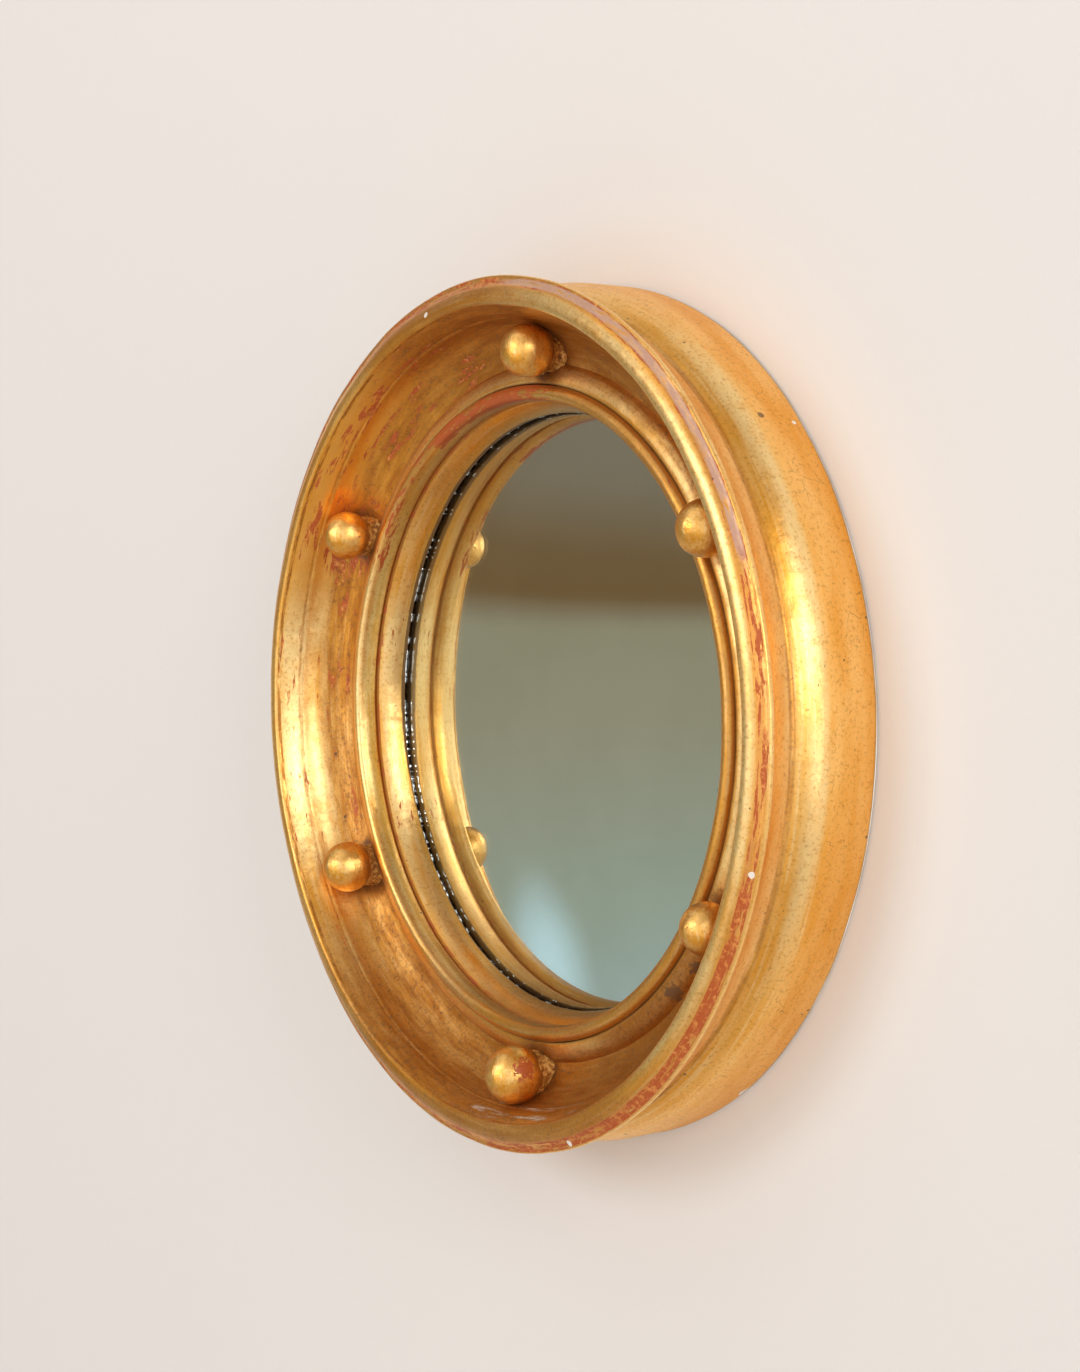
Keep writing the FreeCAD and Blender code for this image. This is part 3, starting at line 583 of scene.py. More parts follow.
def gathered_dirt(tree, place, size, low, high):
    """Fine dark grains of a size in metres, as they gather in the glaze."""
    return rise(tree, grain(tree, place, size, 6, 0.78), low, high)


def leaf_colour(tree, place, streak, tone, rubbed=None):
    """Colour of the leaf: pale and deep stretches, a mottle, fine rubbed grains, and where given a paler
    painted highlight on rubbed high places.
    """
    colour = mixed(tree, rise(tree, tone, 0.30, 0.66), LEAF_DEEP, LEAF)
    colour = mixed(tree, both(tree, rise(tree, streak, 0.46, 0.76), 0.8), colour, LEAF_LIGHT)
    # where given, paler leaf painted as highlight, partly rubbed leaf
    if rubbed is not None:
        colour = mixed(tree, rubbed, colour, LEAF_RUBBED_HIGHLIGHT)
    mottle = rise(tree, grain(tree, place, 4 * MM, 6, 0.68), 0.45, 0.70)
    colour = mixed(tree, both(tree, mottle, 0.34), colour, LEAF_DEEP)
    grains = gathered_dirt(tree, place, 1.0 * MM, 0.52, 0.63)
    return mixed(tree, both(tree, grains, 0.42), colour, GLAZE_AND_SHADE_BROWN)


def gilded(tree, place, leaf, streak, layers, bare, rub, satin=0.23, dents=0.05 * MM):
    """Shader of worn gilding: layers of (mask, colour) from the leaf outwards; no leaf shines where bare."""
    colour = leaf
    for mask, paint in layers:
        colour = mixed(tree, mask, colour, paint)
    metal = maths(tree, "SUBTRACT", 1.0, bare, clamp=True)
    fine = grain(tree, place, 0.7 * MM, 5, 0.65)
    pitted = grain(tree, place, 2.4 * MM, 4, 0.6)
    sheen = satin
    for cause in (streak, fine, rub):
        sheen = weighed(tree, cause, 0.14, sheen)
    height = weighed(tree, streak, 0.38, both(tree, fine, 0.45))
    height = weighed(tree, pitted, 0.7, height)
    height = maths(tree, "SUBTRACT", height, both(tree, bare, 0.35))
    relief = raised(tree, height, dents * 1.6)
    swell = raised(tree, grain(tree, place, 8 * MM, 2), 0.30 * MM, 1.0, relief)
    finish_surface(tree, Base_Color=colour, Metallic=metal, Roughness=sheen, Normal=swell,
                   Coat_Weight=0.1, Coat_Roughness=0.3)


def gilded_frame_finish(at):
    """Water gilding on the turned frame: bright leaf, red bole at the arris, glaze in the hollows, and
    painted highlights and painted shade.
    """
    material, tree, place = new_finish("worn_gilding_frame")
    face = TurnedFace(tree, place, at, (34, 0.9), (40, 9), (7, 1.1), 9, 1.6)
    face.brushed = face.drawn(16, 2.6, 5, 0.62)
    face.side = face.span("back_edge", 0, "side", 1, 3)
    calm = weighed(tree, face.side, -0.75, 1.0)
    face.streak = weighed(tree, maths(tree, "SUBTRACT", face.streak, 0.5), calm, 0.5)

    leaf = frame_leaf(face)
    # glaze and dark are real glaze and dirt and also painted shade
    glaze, dark = dirt_and_shade_on_frame(face, glaze_and_shade_on_frame(face))
    red, warm = bole_on_frame(face)
    bared, lowest, chips = gesso_on_frame(face)
    bare_wood, wood = wood_behind(face)
    layers = ((glaze, GLAZE_AND_SHADE_BROWN), (warm, BOLE_PALE),
              (red, mixed(tree, rise(tree, face.crumbs, 0.48, 0.68), BOLE, BOLE_PALE)),
              (both(tree, bared, 0.8), GESSO), (both(tree, lowest, 0.75), GESSO_GREY),
              (chips, GESSO_WHITE), (both(tree, dark, 0.8), DIRT_AND_SHADE), (bare_wood, wood))
    bare = either(tree, both(tree, red, 0.7), both(tree, bared, 0.8), lowest, chips, both(tree, dark, 0.8),
                  bare_wood, both(tree, glaze, 0.15), both(tree, face.side, 0.25))
    gilded(tree, place, leaf, face.streak, layers, bare, either(tree, glaze, red, face.side))
    return material


def frame_leaf(face):
    """Leaf on the frame: paler as painted highlight on the high places round the angles where the lamps
    shine, partly rubbed by the cloth, and deeper orange as painted shade in the upper left.
    """
    tree = face.tree
    # painted highlight: paler leaf on the high places only round the angles where the lamps shine, partly
    # also leaf rubbed by the cloth
    high = either(tree, both(tree, face.span("ovolo", -3.5, "ovolo", -0.5, 2.5), face.stretch(-14, 44, 26)),
                  both(tree, face.span("fillet", 2, "bead", 0.4, 1), face.stretch(-45, 70, 25)),
                  both(tree, face.span("waist", 1.5, "arris_low", 0, 2), face.stretch(-60, 60, 30), 0.8),
                  both(tree, face.span("quirk", 1.5, "crease", 7, 1.5), face.stretch(160, 215, 22)),
                  face.span("hollow", 2.2, "band", -1.5, 1))
    rubbed = both(tree, high, rise(tree, face.tone, 0.20, 0.62), 0.8)
    leaf = leaf_colour(tree, face.place, face.streak, face.tone, rubbed)
    # painted shade: deeper orange leaf over the upper-left slope and hollow, where the gold shades itself
    orange = both(tree, face.span("quirk", 0, "hollow", 0, 2), face.stretch(96, 158, 12), 0.75)
    return mixed(tree, orange, leaf, LEAF_DEEP)


def glaze_and_shade_on_frame(face):
    """Brown glaze: thick in the hollow and the grooves, thin on the high places; over the slope, the hollow
    and the bead it is also painted shade, kept off the lit left and right, and along the waist it paints the
    valley's shade.
    """
    tree, brushed = face.tree, face.brushed
    hollow = both(tree, face.span("crease", 9, "hollow", 1.5, 6), rise(tree, brushed, 0.12, 0.74), 0.95)
    # painted shade: the smoky glaze darkens the slope and the hollow everywhere but on the lit left
    off_left = left_over(tree, face.stretch(136, 206, 28))
    smoke_and_shade = both(tree, face.span("quirk", 0.5, "hollow", 1.5, 1.5), off_left,
                  weighed(tree, rise(tree, brushed, 0.22, 0.70), 0.50, 0.48))
    # painted shade: glaze over the bead away from the lit left and right
    over_bead = both(tree, face.span("fillet", 0.9, "quirk", 1, 1.2), off_left,
                     left_over(tree, face.stretch(-45, 70, 22)),
                     weighed(tree, rise(tree, brushed, 0.25, 0.70), 0.34, 0.42))
    quirk = face.span("bead_inner", -0.1, "quirk", 0.2, 0.25)
    crease = both(tree, face.span("slope", -0.2, "crease", 0.1, 0.5), 0.45)
    tucked = both(tree, either(tree, quirk, crease), rise(tree, face.smear, 0.36, 0.56), 0.85)
    # painted shade: a dark line of glaze along the waist's valley
    waist = both(tree, face.span("waist", -0.4, "waist", 0.5, 1), rise(tree, brushed, 0.20, 0.60), 0.6)
    return either(tree, hollow, smoke_and_shade, over_bead, tucked, waist)


def bole_on_frame(face):
    """Red bole along the arris and in rubbed streaks inside, and its warm tint round the arris."""
    tree, brushed, smear = face.tree, face.brushed, face.smear
    arris = face.span("arris", 0.5, "fillet", 0.4, 0.8)
    worn = maths(tree, "ADD", weighed(tree, arris, 0.34, both(tree, face.stretch(286, 334, 10), 0.08)),
                 weighed(tree, face.crumbs, 0.16, both(tree, smear, 0.86)))
    worn = both(tree, rise(tree, worn, 0.83, 0.88), rise(tree, arris, 0.50, 0.85))
    inside = face.span("quirk", 0, "hollow", 0, 1.5)
    upper_left = both(tree, inside, face.stretch(108, 154, 8))
    left = both(tree, inside, face.stretch(154, 205, 8))
    patchy = weighed(tree, brushed, 0.6, both(tree, smear, 0.4))
    rubbed = weighed(tree, upper_left, 0.075, weighed(tree, left, 0.050, patchy))
    rubbed = both(tree, inside, rise(tree, rubbed, 0.625, 0.655))
    flecks = both(tree, rise(tree, face.crumbs, 0.66, 0.69), rise(tree, face.cloud, 0.42, 0.6), 0.8)
    warm = both(tree, arris, weighed(tree, rise(tree, brushed, 0.2, 0.7), 0.5, 0.2))
    return either(tree, worn, rubbed, flecks), warm


def gesso_on_frame(face):
    """Gesso bared along the upper right of the arris, grey streaks under the lowest ball, and white chips."""
    tree = face.tree
    bared = both(tree, face.span("arris", 0.9, "fillet", -0.2, 0.4), face.stretch(24, 84, 5),
                 rise(tree, face.smear, 0.30, 0.50))
    lowest = both(tree, face.span("quirk", 1, "crease", 2, 1.5), face.stretch(264, 286, 6),
                  rise(tree, face.brushed, 0.50, 0.62))
    return bared, lowest, either(tree, *[face.blot(*chip) for chip in FRAME_CHIPS])


def dirt_and_shade_on_frame(face, glaze):
    """All of the glaze, also round the balls, and the dark: dirt spots, cracks, grime, the joint, and painted
    contact shade close under the balls.
    """
    tree, place = face.tree, face.place
    spots = either(tree, specks(tree, place, 6 * MM, 0.30, 0.09), specks(tree, place, 2.6 * MM, 0.05, 0.14),
                   both(tree, specks(tree, place, 1.1 * MM, 0.16, 0.20), glaze, 0.9))
    cracks = both(tree, hairlines(tree, place, 8 * MM, 0.012), rise(tree, face.cloud, 0.50, 0.60),
                  weighed(tree, face.side, 0.40, 0.20))
    joint = both(tree, face.span("band", 0, "bore", 0, 0.35), 0.6)
    around_balls, shade_and_dirt_under_balls = feet_of_balls(tree, place, face.cloud)
    sooty = both(tree, face.span("crease", 6, "band", -1, 3), face.stretch(296, 326, 12),
                 weighed(tree, face.crumbs, 0.5, 0.6))
    glaze = either(tree, glaze, around_balls, sooty)
    grime = both(tree, gathered_dirt(tree, place, 1.3 * MM, 0.54, 0.58), glaze, 0.80)
    # painted shade: the dark close under each ball is its contact shade, broken up like dirt
    shade_and_dirt_under_balls = both(tree, shade_and_dirt_under_balls, rise(tree, face.crumbs, 0.40, 0.54))
    dark = either(tree, spots, cracks, joint, *[face.blot(*spot) for spot in FRAME_SPOTS], grime, shade_and_dirt_under_balls)
    return glaze, dark


def feet_of_balls(tree, place, cloud):
    """Glaze on the frame round the foot of each ball, and close under it dark painted contact shade, broken
    up like dirt.
    """
    nearest = None
    for angle, _ in BALLS.values():
        foot = on_circle(BALL_CIRCLE, angle, BALL_FOOT)
        away = vector_maths(tree, "DISTANCE", place, foot).outputs["Value"]
        nearest = away if nearest is None else maths(tree, "MINIMUM", nearest, away)
    away = weighed(tree, cloud, 9 * MM, nearest)
    return both(tree, rise(tree, away, 20 * MM, 11 * MM), 0.95), rise(tree, away, 14.2 * MM, 11 * MM)


def wood_behind(face):
    """Where the frame is bare wood, on its back and in the hanger's recess, and the colour of that wood."""
    tree, place = face.tree, face.place
    depth = both(tree, face.behind, -1)
    spot = put(tree, "ShaderNodeSeparateXYZ", {0: place}).outputs
    margin = 0.05 * MM
    recess = both(tree, between(tree, spot["X"], -RECESS_HALF - margin, RECESS_HALF + margin, 2 * margin),
                  between(tree, spot["Z"], RECESS_FOOT - margin, RECESS_HEAD + margin, 2 * margin),
                  rise(tree, depth, RECESS_DEPTH + 0.3 * MM, RECESS_DEPTH + 0.2 * MM))
    edge = face.at["back_edge"]
    bare_wood = either(tree, rise(tree, depth, 0.9 * MM, 0.3 * MM),
                       rise(tree, face.along, edge, edge - 0.3 * MM), recess)
    wood = mixed(tree, rise(tree, face.streak, 0.40, 0.60), OCHRE_WASH, RAW_WOOD)
    soiled = both(tree, rise(tree, grain(tree, place, 26 * MM, 5, 0.6), 0.42, 0.70), 0.55)
    wood = mixed(tree, soiled, wood, OLD_STAIN)
    wood = mixed(tree, both(tree, rise(tree, face.smear, 0.46, 0.80), 0.35), wood, OLD_STAIN)
    across_grain = vector_maths(tree, "MULTIPLY", place, (0.15, 1.0, 1.0)).outputs[0]
    chiselled = grain(tree, across_grain, 0.9 * MM, 4, 0.6)
    fresh = mixed(tree, rise(tree, chiselled, 0.35, 0.65), OCHRE_WASH, RAW_WOOD)
    return bare_wood, mixed(tree, recess, wood, fresh)


def gilded_ring_finish(at):
    """Gilding on the sight ring: deep orange reeds, dark grooves, a red worn patch at the top, a paler
    painted highlight on the lit left, and glaze as painted shade elsewhere.
    """
    material, tree, place = new_finish("worn_gilding_sight_ring")
    face = TurnedFace(tree, place, at, (30, 0.8), (36, 6), (6, 1.0), 8, 1.5)
    high = either(tree, face.span("shoulder", 0.8, "reed", 2.5, 1),
                  face.span("groove_end", 2, "cove", -2.5, 1.5))
    # painted highlight: the reeds are paler only on the left, where the lamps shine, partly also rubbed leaf
    rubbed = both(tree, high, rise(tree, face.tone, 0.20, 0.62), face.stretch(165, 240, 25), 0.75)
    leaf = leaf_colour(tree, place, face.streak, face.tone, rubbed)
    groove = face.span("reed_side", -0.3, "groove_end", 0.3, 0.35)
    # painted shade: glaze over the ring everywhere but on the lit left
    smoke_and_shade = both(tree, left_over(tree, face.stretch(160, 206, 30)),
                  weighed(tree, rise(tree, face.tone, 0.30, 0.66), 0.45, 0.15))
    glaze = either(tree, both(tree, groove, 0.8), smoke_and_shade)
    red = either(tree, bole_on_reeds(face), both(tree, groove, rise(tree, face.smear, 0.50, 0.60)))
    dark = dirt_and_shade_on_ring(face, smoke_and_shade)
    layers = ((glaze, GLAZE_AND_SHADE_BROWN), (red, BOLE), (both(tree, dark, 0.85), DIRT_AND_SHADE))
    bare = either(tree, both(tree, red, 0.8), both(tree, dark, 0.9), both(tree, glaze, 0.15))
    gilded(tree, place, leaf, face.streak, layers, bare, either(tree, glaze, red), satin=0.19)
    return material


def bole_on_reeds(face):
    """Red bole on the sight ring: a long worn patch at the top, less to its left, and flecks."""
    tree = face.tree
    reed = face.span("shoulder", 0, "reed", 2, 0.6)
    top = both(tree, reed, face.stretch(84, 118, 5))
    beside = both(tree, reed, face.stretch(118, 150, 8))
    patchy = weighed(tree, face.tone, 0.45, both(tree, face.smear, 0.55))
    rubbed = weighed(tree, top, 0.17, weighed(tree, beside, 0.085, patchy))
    flecks = both(tree, rise(tree, face.crumbs, 0.70, 0.72), rise(tree, face.cloud, 0.44, 0.6), 0.8)
    return either(tree, rise(tree, rubbed, 0.625, 0.655), flecks)


def dirt_and_shade_on_ring(face, smoke_and_shade):
    """Dirt on the sight ring: specks, grime where the glaze paints shade, the joint to the frame, and the lip
    round the glass painted black as the shade of the unlit gap under it.
    """
    tree, place = face.tree, face.place
    shoulder, cove = face.at["shoulder"], face.at["cove"]
    joint = both(tree, rise(tree, face.along, shoulder + 0.6 * MM, shoulder + 0.1 * MM), 0.5)
    # painted shade: the lip round the glass is black, as the unlit gap under it, widest at the upper left
    gap = weighed(tree, face.stretch(112, 178, 25), 0.9 * MM, both(tree, face.smear, 0.55 * MM))
    lip = rise(tree, maths(tree, "ADD", face.along, gap), cove, cove + 0.35 * MM)
    grime = both(tree, gathered_dirt(tree, place, 1.1 * MM, 0.54, 0.63), smoke_and_shade, 0.6)
    return either(tree, specks(tree, place, 4 * MM, 0.2, 0.12), joint, lip, grime)


def gilded_ball_finish(ball):
    """Gilding on one ball: brushed leaf, flecks, and glaze low down where the cloth didn't reach."""
    angle, radius = BALLS[ball]
    material, tree, place = new_finish("worn_gilding_ball_%d" % ball)
    middle = on_circle(BALL_CIRCLE, angle, BALL_FOOT + radius * MM)
    own = put(tree, "ShaderNodeMapping", {"Vector": place, "Location": middle},
              vector_type="TEXTURE").outputs[0]
    part = put(tree, "ShaderNodeSeparateXYZ", {0: own}).outputs
    brushed = put(tree, "ShaderNodeMapping", {"Vector": own, "Rotation": (0.5, 0.3, 0.35 * ball),
                                              "Scale": (1.0, 1.0, 0.22)}).outputs[0]
    streak = grain(tree, brushed, 0.8 * MM, 4, 0.6)
    tone = grain(tree, own, 5 * MM, 3)
    crumbs = grain(tree, own, 1.3 * MM, 4, 0.65)
    cloud = grain(tree, own, 4 * MM, 4, 0.6)
    leaf = leaf_colour(tree, place, streak, tone)
    low = weighed(tree, cloud, 5 * MM, part["Y"])
    glaze = both(tree, rise(tree, low, 4 * MM, 8 * MM), 0.66)
    red = both(tree, rise(tree, crumbs, 0.66, 0.70), rise(tree, cloud, 0.40, 0.55))
    if ball == LOWEST_BALL:
        patch = vector_maths(tree, "DISTANCE", own, (7.9 * MM, -1.4 * MM, 3.0 * MM)).outputs["Value"]
        patch = weighed(tree, crumbs, 11 * MM, patch)
        red = either(tree, red, rise(tree, patch, 8.9 * MM, 8.1 * MM))
    pits = rise(tree, grain(tree, own, 0.9 * MM, 4, 0.7), 0.60, 0.68)
    dark = both(tree, pits, rise(tree, low, 1 * MM, 5 * MM), 0.8)
    layers = ((glaze, GLAZE_AND_SHADE_BROWN), (red, BOLE), (dark, DIRT_AND_SHADE))
    bare = either(tree, red, dark, both(tree, glaze, 0.4))
    gilded(tree, place, leaf, streak, layers, bare, either(tree, glaze, red), satin=0.20, dents=0.12 * MM)
    return material


def gesso_collar_finish():
    """Lumps of gesso under the balls: rough, thinly gilded on the high places, dark in the pits."""
    material, tree, place = new_finish("worn_gilding_collars")
    lumps = grain(tree, place, 1.4 * MM, 5, 0.65)
    cloud = grain(tree, place, 4 * MM, 3)
    colour = mixed(tree, rise(tree, lumps, 0.42, 0.62), GLAZE_AND_SHADE_BROWN, LEAF)
    pale = both(tree, rise(tree, cloud, 0.62, 0.70), rise(tree, lumps, 0.4, 0.6))
    colour = mixed(tree, pale, colour, BOLE_PALE)
    colour = mixed(tree, rise(tree, lumps, 0.42, 0.30), colour, DIRT_AND_SHADE)
    metal = both(tree, rise(tree, lumps, 0.40, 0.60), rise(tree, cloud, 0.62, 0.50))
    finish_surface(tree, Base_Color=colour, Metallic=metal, Roughness=0.48,
                   Normal=raised(tree, lumps, 0.9 * MM))
    return material


# ---------------------------------------------------------------- the other finishes


def glass_finish():
    """Clear old glass with a faint green."""
    material, tree, _ = new_finish("clear_glass")
    finish_surface(tree, Base_Color=(0.96, 0.985, 0.965, 1), Roughness=0.0, IOR=1.52, Transmission_Weight=1.0)
    return material


def silver_finish():
    """Aged silvering: grey, with small dark spots towards the rim."""
    material, tree, place = new_finish("aged_silvering")
    radius, _, _, _ = ring_place(tree, place)
    cloud = grain(tree, place, 30 * MM, 3)
    spots = either(tree, specks(tree, place, 5 * MM, 0.16, 0.05), specks(tree, place, 11 * MM, 0.3, 0.03))
    blotches = rise(tree, grain(tree, place, 2.5 * MM, 4), 0.52, 0.60)
    rim = both(tree, rise(tree, radius, 82 * MM, 93 * MM), blotches)
    colour = mixed(tree, rise(tree, cloud, 0.35, 0.65), (0.84, 0.85, 0.80, 1), (0.88, 0.89, 0.85, 1))
    colour = mixed(tree, both(tree, either(tree, spots, rim), 0.6), colour, (0.22, 0.19, 0.14, 1))
    finish_surface(tree, Base_Color=colour, Metallic=1.0, Roughness=0.02)
    return material


def felt_finish():
    """Dark brown felt."""
    material, tree, place = new_finish("dark_felt")
    fibres = grain(tree, place, 0.5 * MM, 6, 0.75, 2.0)
    colour = mixed(tree, fibres, (0.035, 0.026, 0.02, 1), (0.10, 0.075, 0.055, 1))
    finish_surface(tree, Base_Color=colour, Roughness=0.95, Normal=raised(tree, fibres, 0.3 * MM),
                   Sheen_Weight=0.4)
    return material


def board_finish():
    """Thin plywood board: straight grain, a few knots of colour."""
    material, tree, place = new_finish("aged_plywood")
    drawn = put(tree, "ShaderNodeMapping", {"Vector": place, "Rotation": (0, 0.14, 0), "Scale": (1, 1, 0.05)})
    fibres = grain(tree, drawn.outputs[0], 0.9 * MM, 5, 0.6, 0.4)
    bands = grain(tree, drawn.outputs[0], 7 * MM, 3, 0.5, 1.2)
    stain = grain(tree, place, 35 * MM, 4, 0.6)
    colour = mixed(tree, rise(tree, bands, 0.35, 0.65), (0.36, 0.21, 0.10, 1), (0.50, 0.33, 0.17, 1))
    colour = mixed(tree, both(tree, rise(tree, fibres, 0.50, 0.75), 0.55), colour, (0.22, 0.12, 0.055, 1))
    colour = mixed(tree, both(tree, rise(tree, stain, 0.52, 0.70), 0.35), colour, (0.27, 0.17, 0.09, 1))
    finish_surface(tree, Base_Color=colour, Roughness=0.72, Normal=raised(tree, fibres, 0.12 * MM))
    return material


def metal_finish(name, light, dark, roughness, tarnish):
    """Small metal fitting: scratched, with tarnish in patches."""
    material, tree, place = new_finish(name)
    cloud = grain(tree, place, 2.2 * MM, 4, 0.6)
    fine = grain(tree, place, 0.35 * MM, 3, 0.6)
    patch = rise(tree, cloud, 0.66 - tarnish, 0.74 - tarnish * 0.5)
    colour = mixed(tree, patch, light, dark)
    sheen = weighed(tree, patch, 0.25, weighed(tree, fine, 0.12, roughness))
    finish_surface(tree, Base_Color=colour, Metallic=1.0, Roughness=sheen,
                   Normal=raised(tree, fine, 0.02 * MM))
    return material


def dowel_finish():
    """Plain beech of the dowels."""
    material, tree, place = new_finish("beech_dowel")
    drawn = put(tree, "ShaderNodeMapping", {"Vector": place, "Scale": (1, 0.1, 1)}).outputs[0]
    fibres = grain(tree, drawn, 0.4 * MM, 4, 0.6)
    colour = mixed(tree, fibres, (0.42, 0.27, 0.15, 1), (0.62, 0.45, 0.28, 1))
    finish_surface(tree, Base_Color=colour, Roughness=0.6)
    return material


# ---------------------------------------------------------------- the pieces


def rounded_block(name, low, high, corner, steps):
    """Block between two corner points with its four edges along Y rounded."""
    form = bmesh.new()
    bmesh.ops.create_cube(form, size=1.0)
    middle, span = (Vector(low) + Vector(high)) / 2, Vector(high) - Vector(low)
    for vertex in form.verts:
        vertex.co = middle + Vector((vertex.co.x * span.x, vertex.co.y * span.y, vertex.co.z * span.z))
    upright = [e for e in form.edges if abs(e.verts[0].co.y - e.verts[1].co.y) > span.y / 2]
    bmesh.ops.bevel(form, geom=upright, offset=corner, segments=steps, profile=0.5, affect="EDGES")
    bmesh.ops.recalc_face_normals(form, faces=form.faces)
    return set_up(name, mesh_of(form, name))


def cut_away(piece, tool):
    """Takes the tool's space out of a piece, and throws the tool away."""
    modifier = piece.modifiers.new("cut", "BOOLEAN")
    modifier.operation = "DIFFERENCE"
    modifier.solver = "EXACT"
    modifier.object = tool
    cut = worked_mesh(piece)
    piece.modifiers.remove(modifier)
    old = piece.data
    piece.data = cut
    bpy.data.meshes.remove(old)
    bpy.data.objects.remove(tool)


def make_frame():
    """The turned frame, with the hanger's recess in its back."""
    points, at = trace_section(FRAME_SECTION)
    piece = turn("gilt_frame", points, 600, gilded_frame_finish(at),
                 waves=(0.55 * MM, 24 * MM), rough=(0.14 * MM, 3.5 * MM), seed=3.0, sharp=60)
    past_back = 5 * MM
    cut_away(piece, rounded_block("recess", (-RECESS_HALF, -RECESS_DEPTH, RECESS_FOOT),
                                  (RECESS_HALF, past_back, RECESS_HEAD), corner=2 * MM, steps=6))
    join_frame(piece, "mirror", "gilt_frame", "frame_ring")


def make_sight_ring():
    """The reeded ring round the glass."""
    points, at = trace_section(RING_SECTION)
    piece = turn("gilt_sight_ring", points, 560, gilded_ring_finish(at),
                 waves=(0.35 * MM, 20 * MM), rough=(0.12 * MM, 3 * MM), seed=8.0, sharp=60)
    join_frame(piece, "mirror", "gilt_sight_ring", "sight_ring")


def sphere_section(front, back, rows):
    """Section of a thin curved disc between two spheres round the glass's centre."""
    points = []
    for radius, steps in ((front, range(rows + 1)), (back, range(rows, -1, -1))):
        for number in steps:
            out = GLASS_EDGE * number / rows
            points.append(Vector((out, out, GLASS_CENTRE + math.sqrt(radius * radius - out * out))))
    return points


def make_glass():
    """The convex glass and the silvering behind it."""
    glass = turn("convex_glass", sphere_section(GLASS_RADIUS, GLASS_RADIUS - GLASS_THICKNESS, 48), 256,
                 glass_finish())
    join_frame(glass, "mirror", "mirror_glass", "mirror_glass")
    front = GLASS_RADIUS - GLASS_THICKNESS - SILVER_GAP
    silver = turn("silver_coat", sphere_section(front, front - SILVER_THICKNESS, 48), 256, silver_finish())
    join_frame(silver, "mirror", "silvering", "silvering")


def make_ball(ball):
    """One ball, not quite round."""
    angle, radius = BALLS[ball]
    rows = 44
    points = []
    for number in range(rows + 1):
        turn_to = math.pi * number / rows - math.pi / 2
        points.append(Vector((radius * math.cos(turn_to), radius * (turn_to + math.pi / 2),
                              radius * math.sin(turn_to))) * MM)
    points[0].x = points[-1].x = 0
    piece = turn("gilt_ball_%d" % ball, points, 88, gilded_ball_finish(ball),
                 waves=(0.7 * MM, 9 * MM), rough=(0.16 * MM, 1.6 * MM), seed=10.0 + ball)
    piece.data.transform(Matrix.Translation(on_circle(BALL_CIRCLE, angle, BALL_FOOT + radius * MM)))
    join_frame(piece, "mirror", "gilt_balls", "ball_%d" % ball)


def make_collar(ball, finish):
    """The lumpy gesso that a ball beds in."""
    angle, radius = BALLS[ball]
    low, high = 20.2, 22.5 + radius * 0.42
    bore, foot, neck = 2.05, 6.6, radius * 0.84
    points, _ = trace_section((
        ("inner", bore, low, 0, 2), ("foot", foot, low, 0, 1), ("outer", foot + 0.2, low + 1.2, 0, 0.5),
        ("neck", neck, high, -5, 0.4), ("top", bore, high - 0.6, 0, 0.7), ("end", bore, low, 0, 1)))
    piece = turn("gesso_collar_%d" % ball, points, 96, finish,
                 waves=(2.2 * MM, 3.4 * MM), rough=(0.9 * MM, 1.2 * MM), seed=30.0 + ball)
    piece.data.transform(Matrix.Translation(on_circle(BALL_CIRCLE, angle, 0)))
    join_frame(piece, "mirror", "gilt_gesso", "ball_collar_%d" % ball)


def small_turned(name, line, steps):
    """Small turned mesh round the Y axis from (radius, y) points, closed at both ends."""
    form = bmesh.new()
    rings = []
    for radius, height in line:
        rings.append([form.verts.new(place) for place in circle(radius, height, steps)])
    for lower, upper in zip(rings, rings[1:]):
        for n in range(steps):
            form.faces.new((lower[n], lower[n - 1], upper[n - 1], upper[n]))
    bmesh.ops.remove_doubles(form, verts=form.verts, dist=0.001 * MM)
    bmesh.ops.recalc_face_normals(form, faces=form.faces)
    for face in form.faces:
        face.smooth = True
    return mesh_of(form, name)


def make_brads():
    """Six brads with low domed heads through the backboard, the first one lowest."""
    low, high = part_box("backboard_brads")
    tip, back = low[1], high[1]
    line = [(0, back), (0.5 * BRAD_HEAD, back - 0.05 * MM), (0.85 * BRAD_HEAD, back - 0.25 * MM),
            (BRAD_HEAD, back - 0.5 * MM), (0.97 * BRAD_HEAD, back - 0.68 * MM),
            (BRAD_SHANK, back - 0.7 * MM), (BRAD_SHANK, tip + 1.5 * MM), (0, tip)]
    steel = metal_finish("dull_steel", (0.50, 0.48, 0.46, 1), (0.14, 0.08, 0.05, 1), 0.34, 0.12)
    piece = run_tree("steel_brads", RING_OF_PIECES, small_turned("brad", line, 20), {
        "Count": 6, "Radius": BRAD_CIRCLE, "First angle": -math.pi / 2, "Arc": FULL_TURN,
        "Loose angle": 0.0, "Loose place": (0.0, 0.0, 0.0), "Least size": (1.0, 1.0, 1.0),
        "Most size": (1.0, 1.0, 1.0), "Seed": 0, "Finish": steel})
    piece.data.set_sharp_from_angle(angle=math.radians(50))
    join_frame(piece, "mirror", "steel_brads", "backboard_brads")


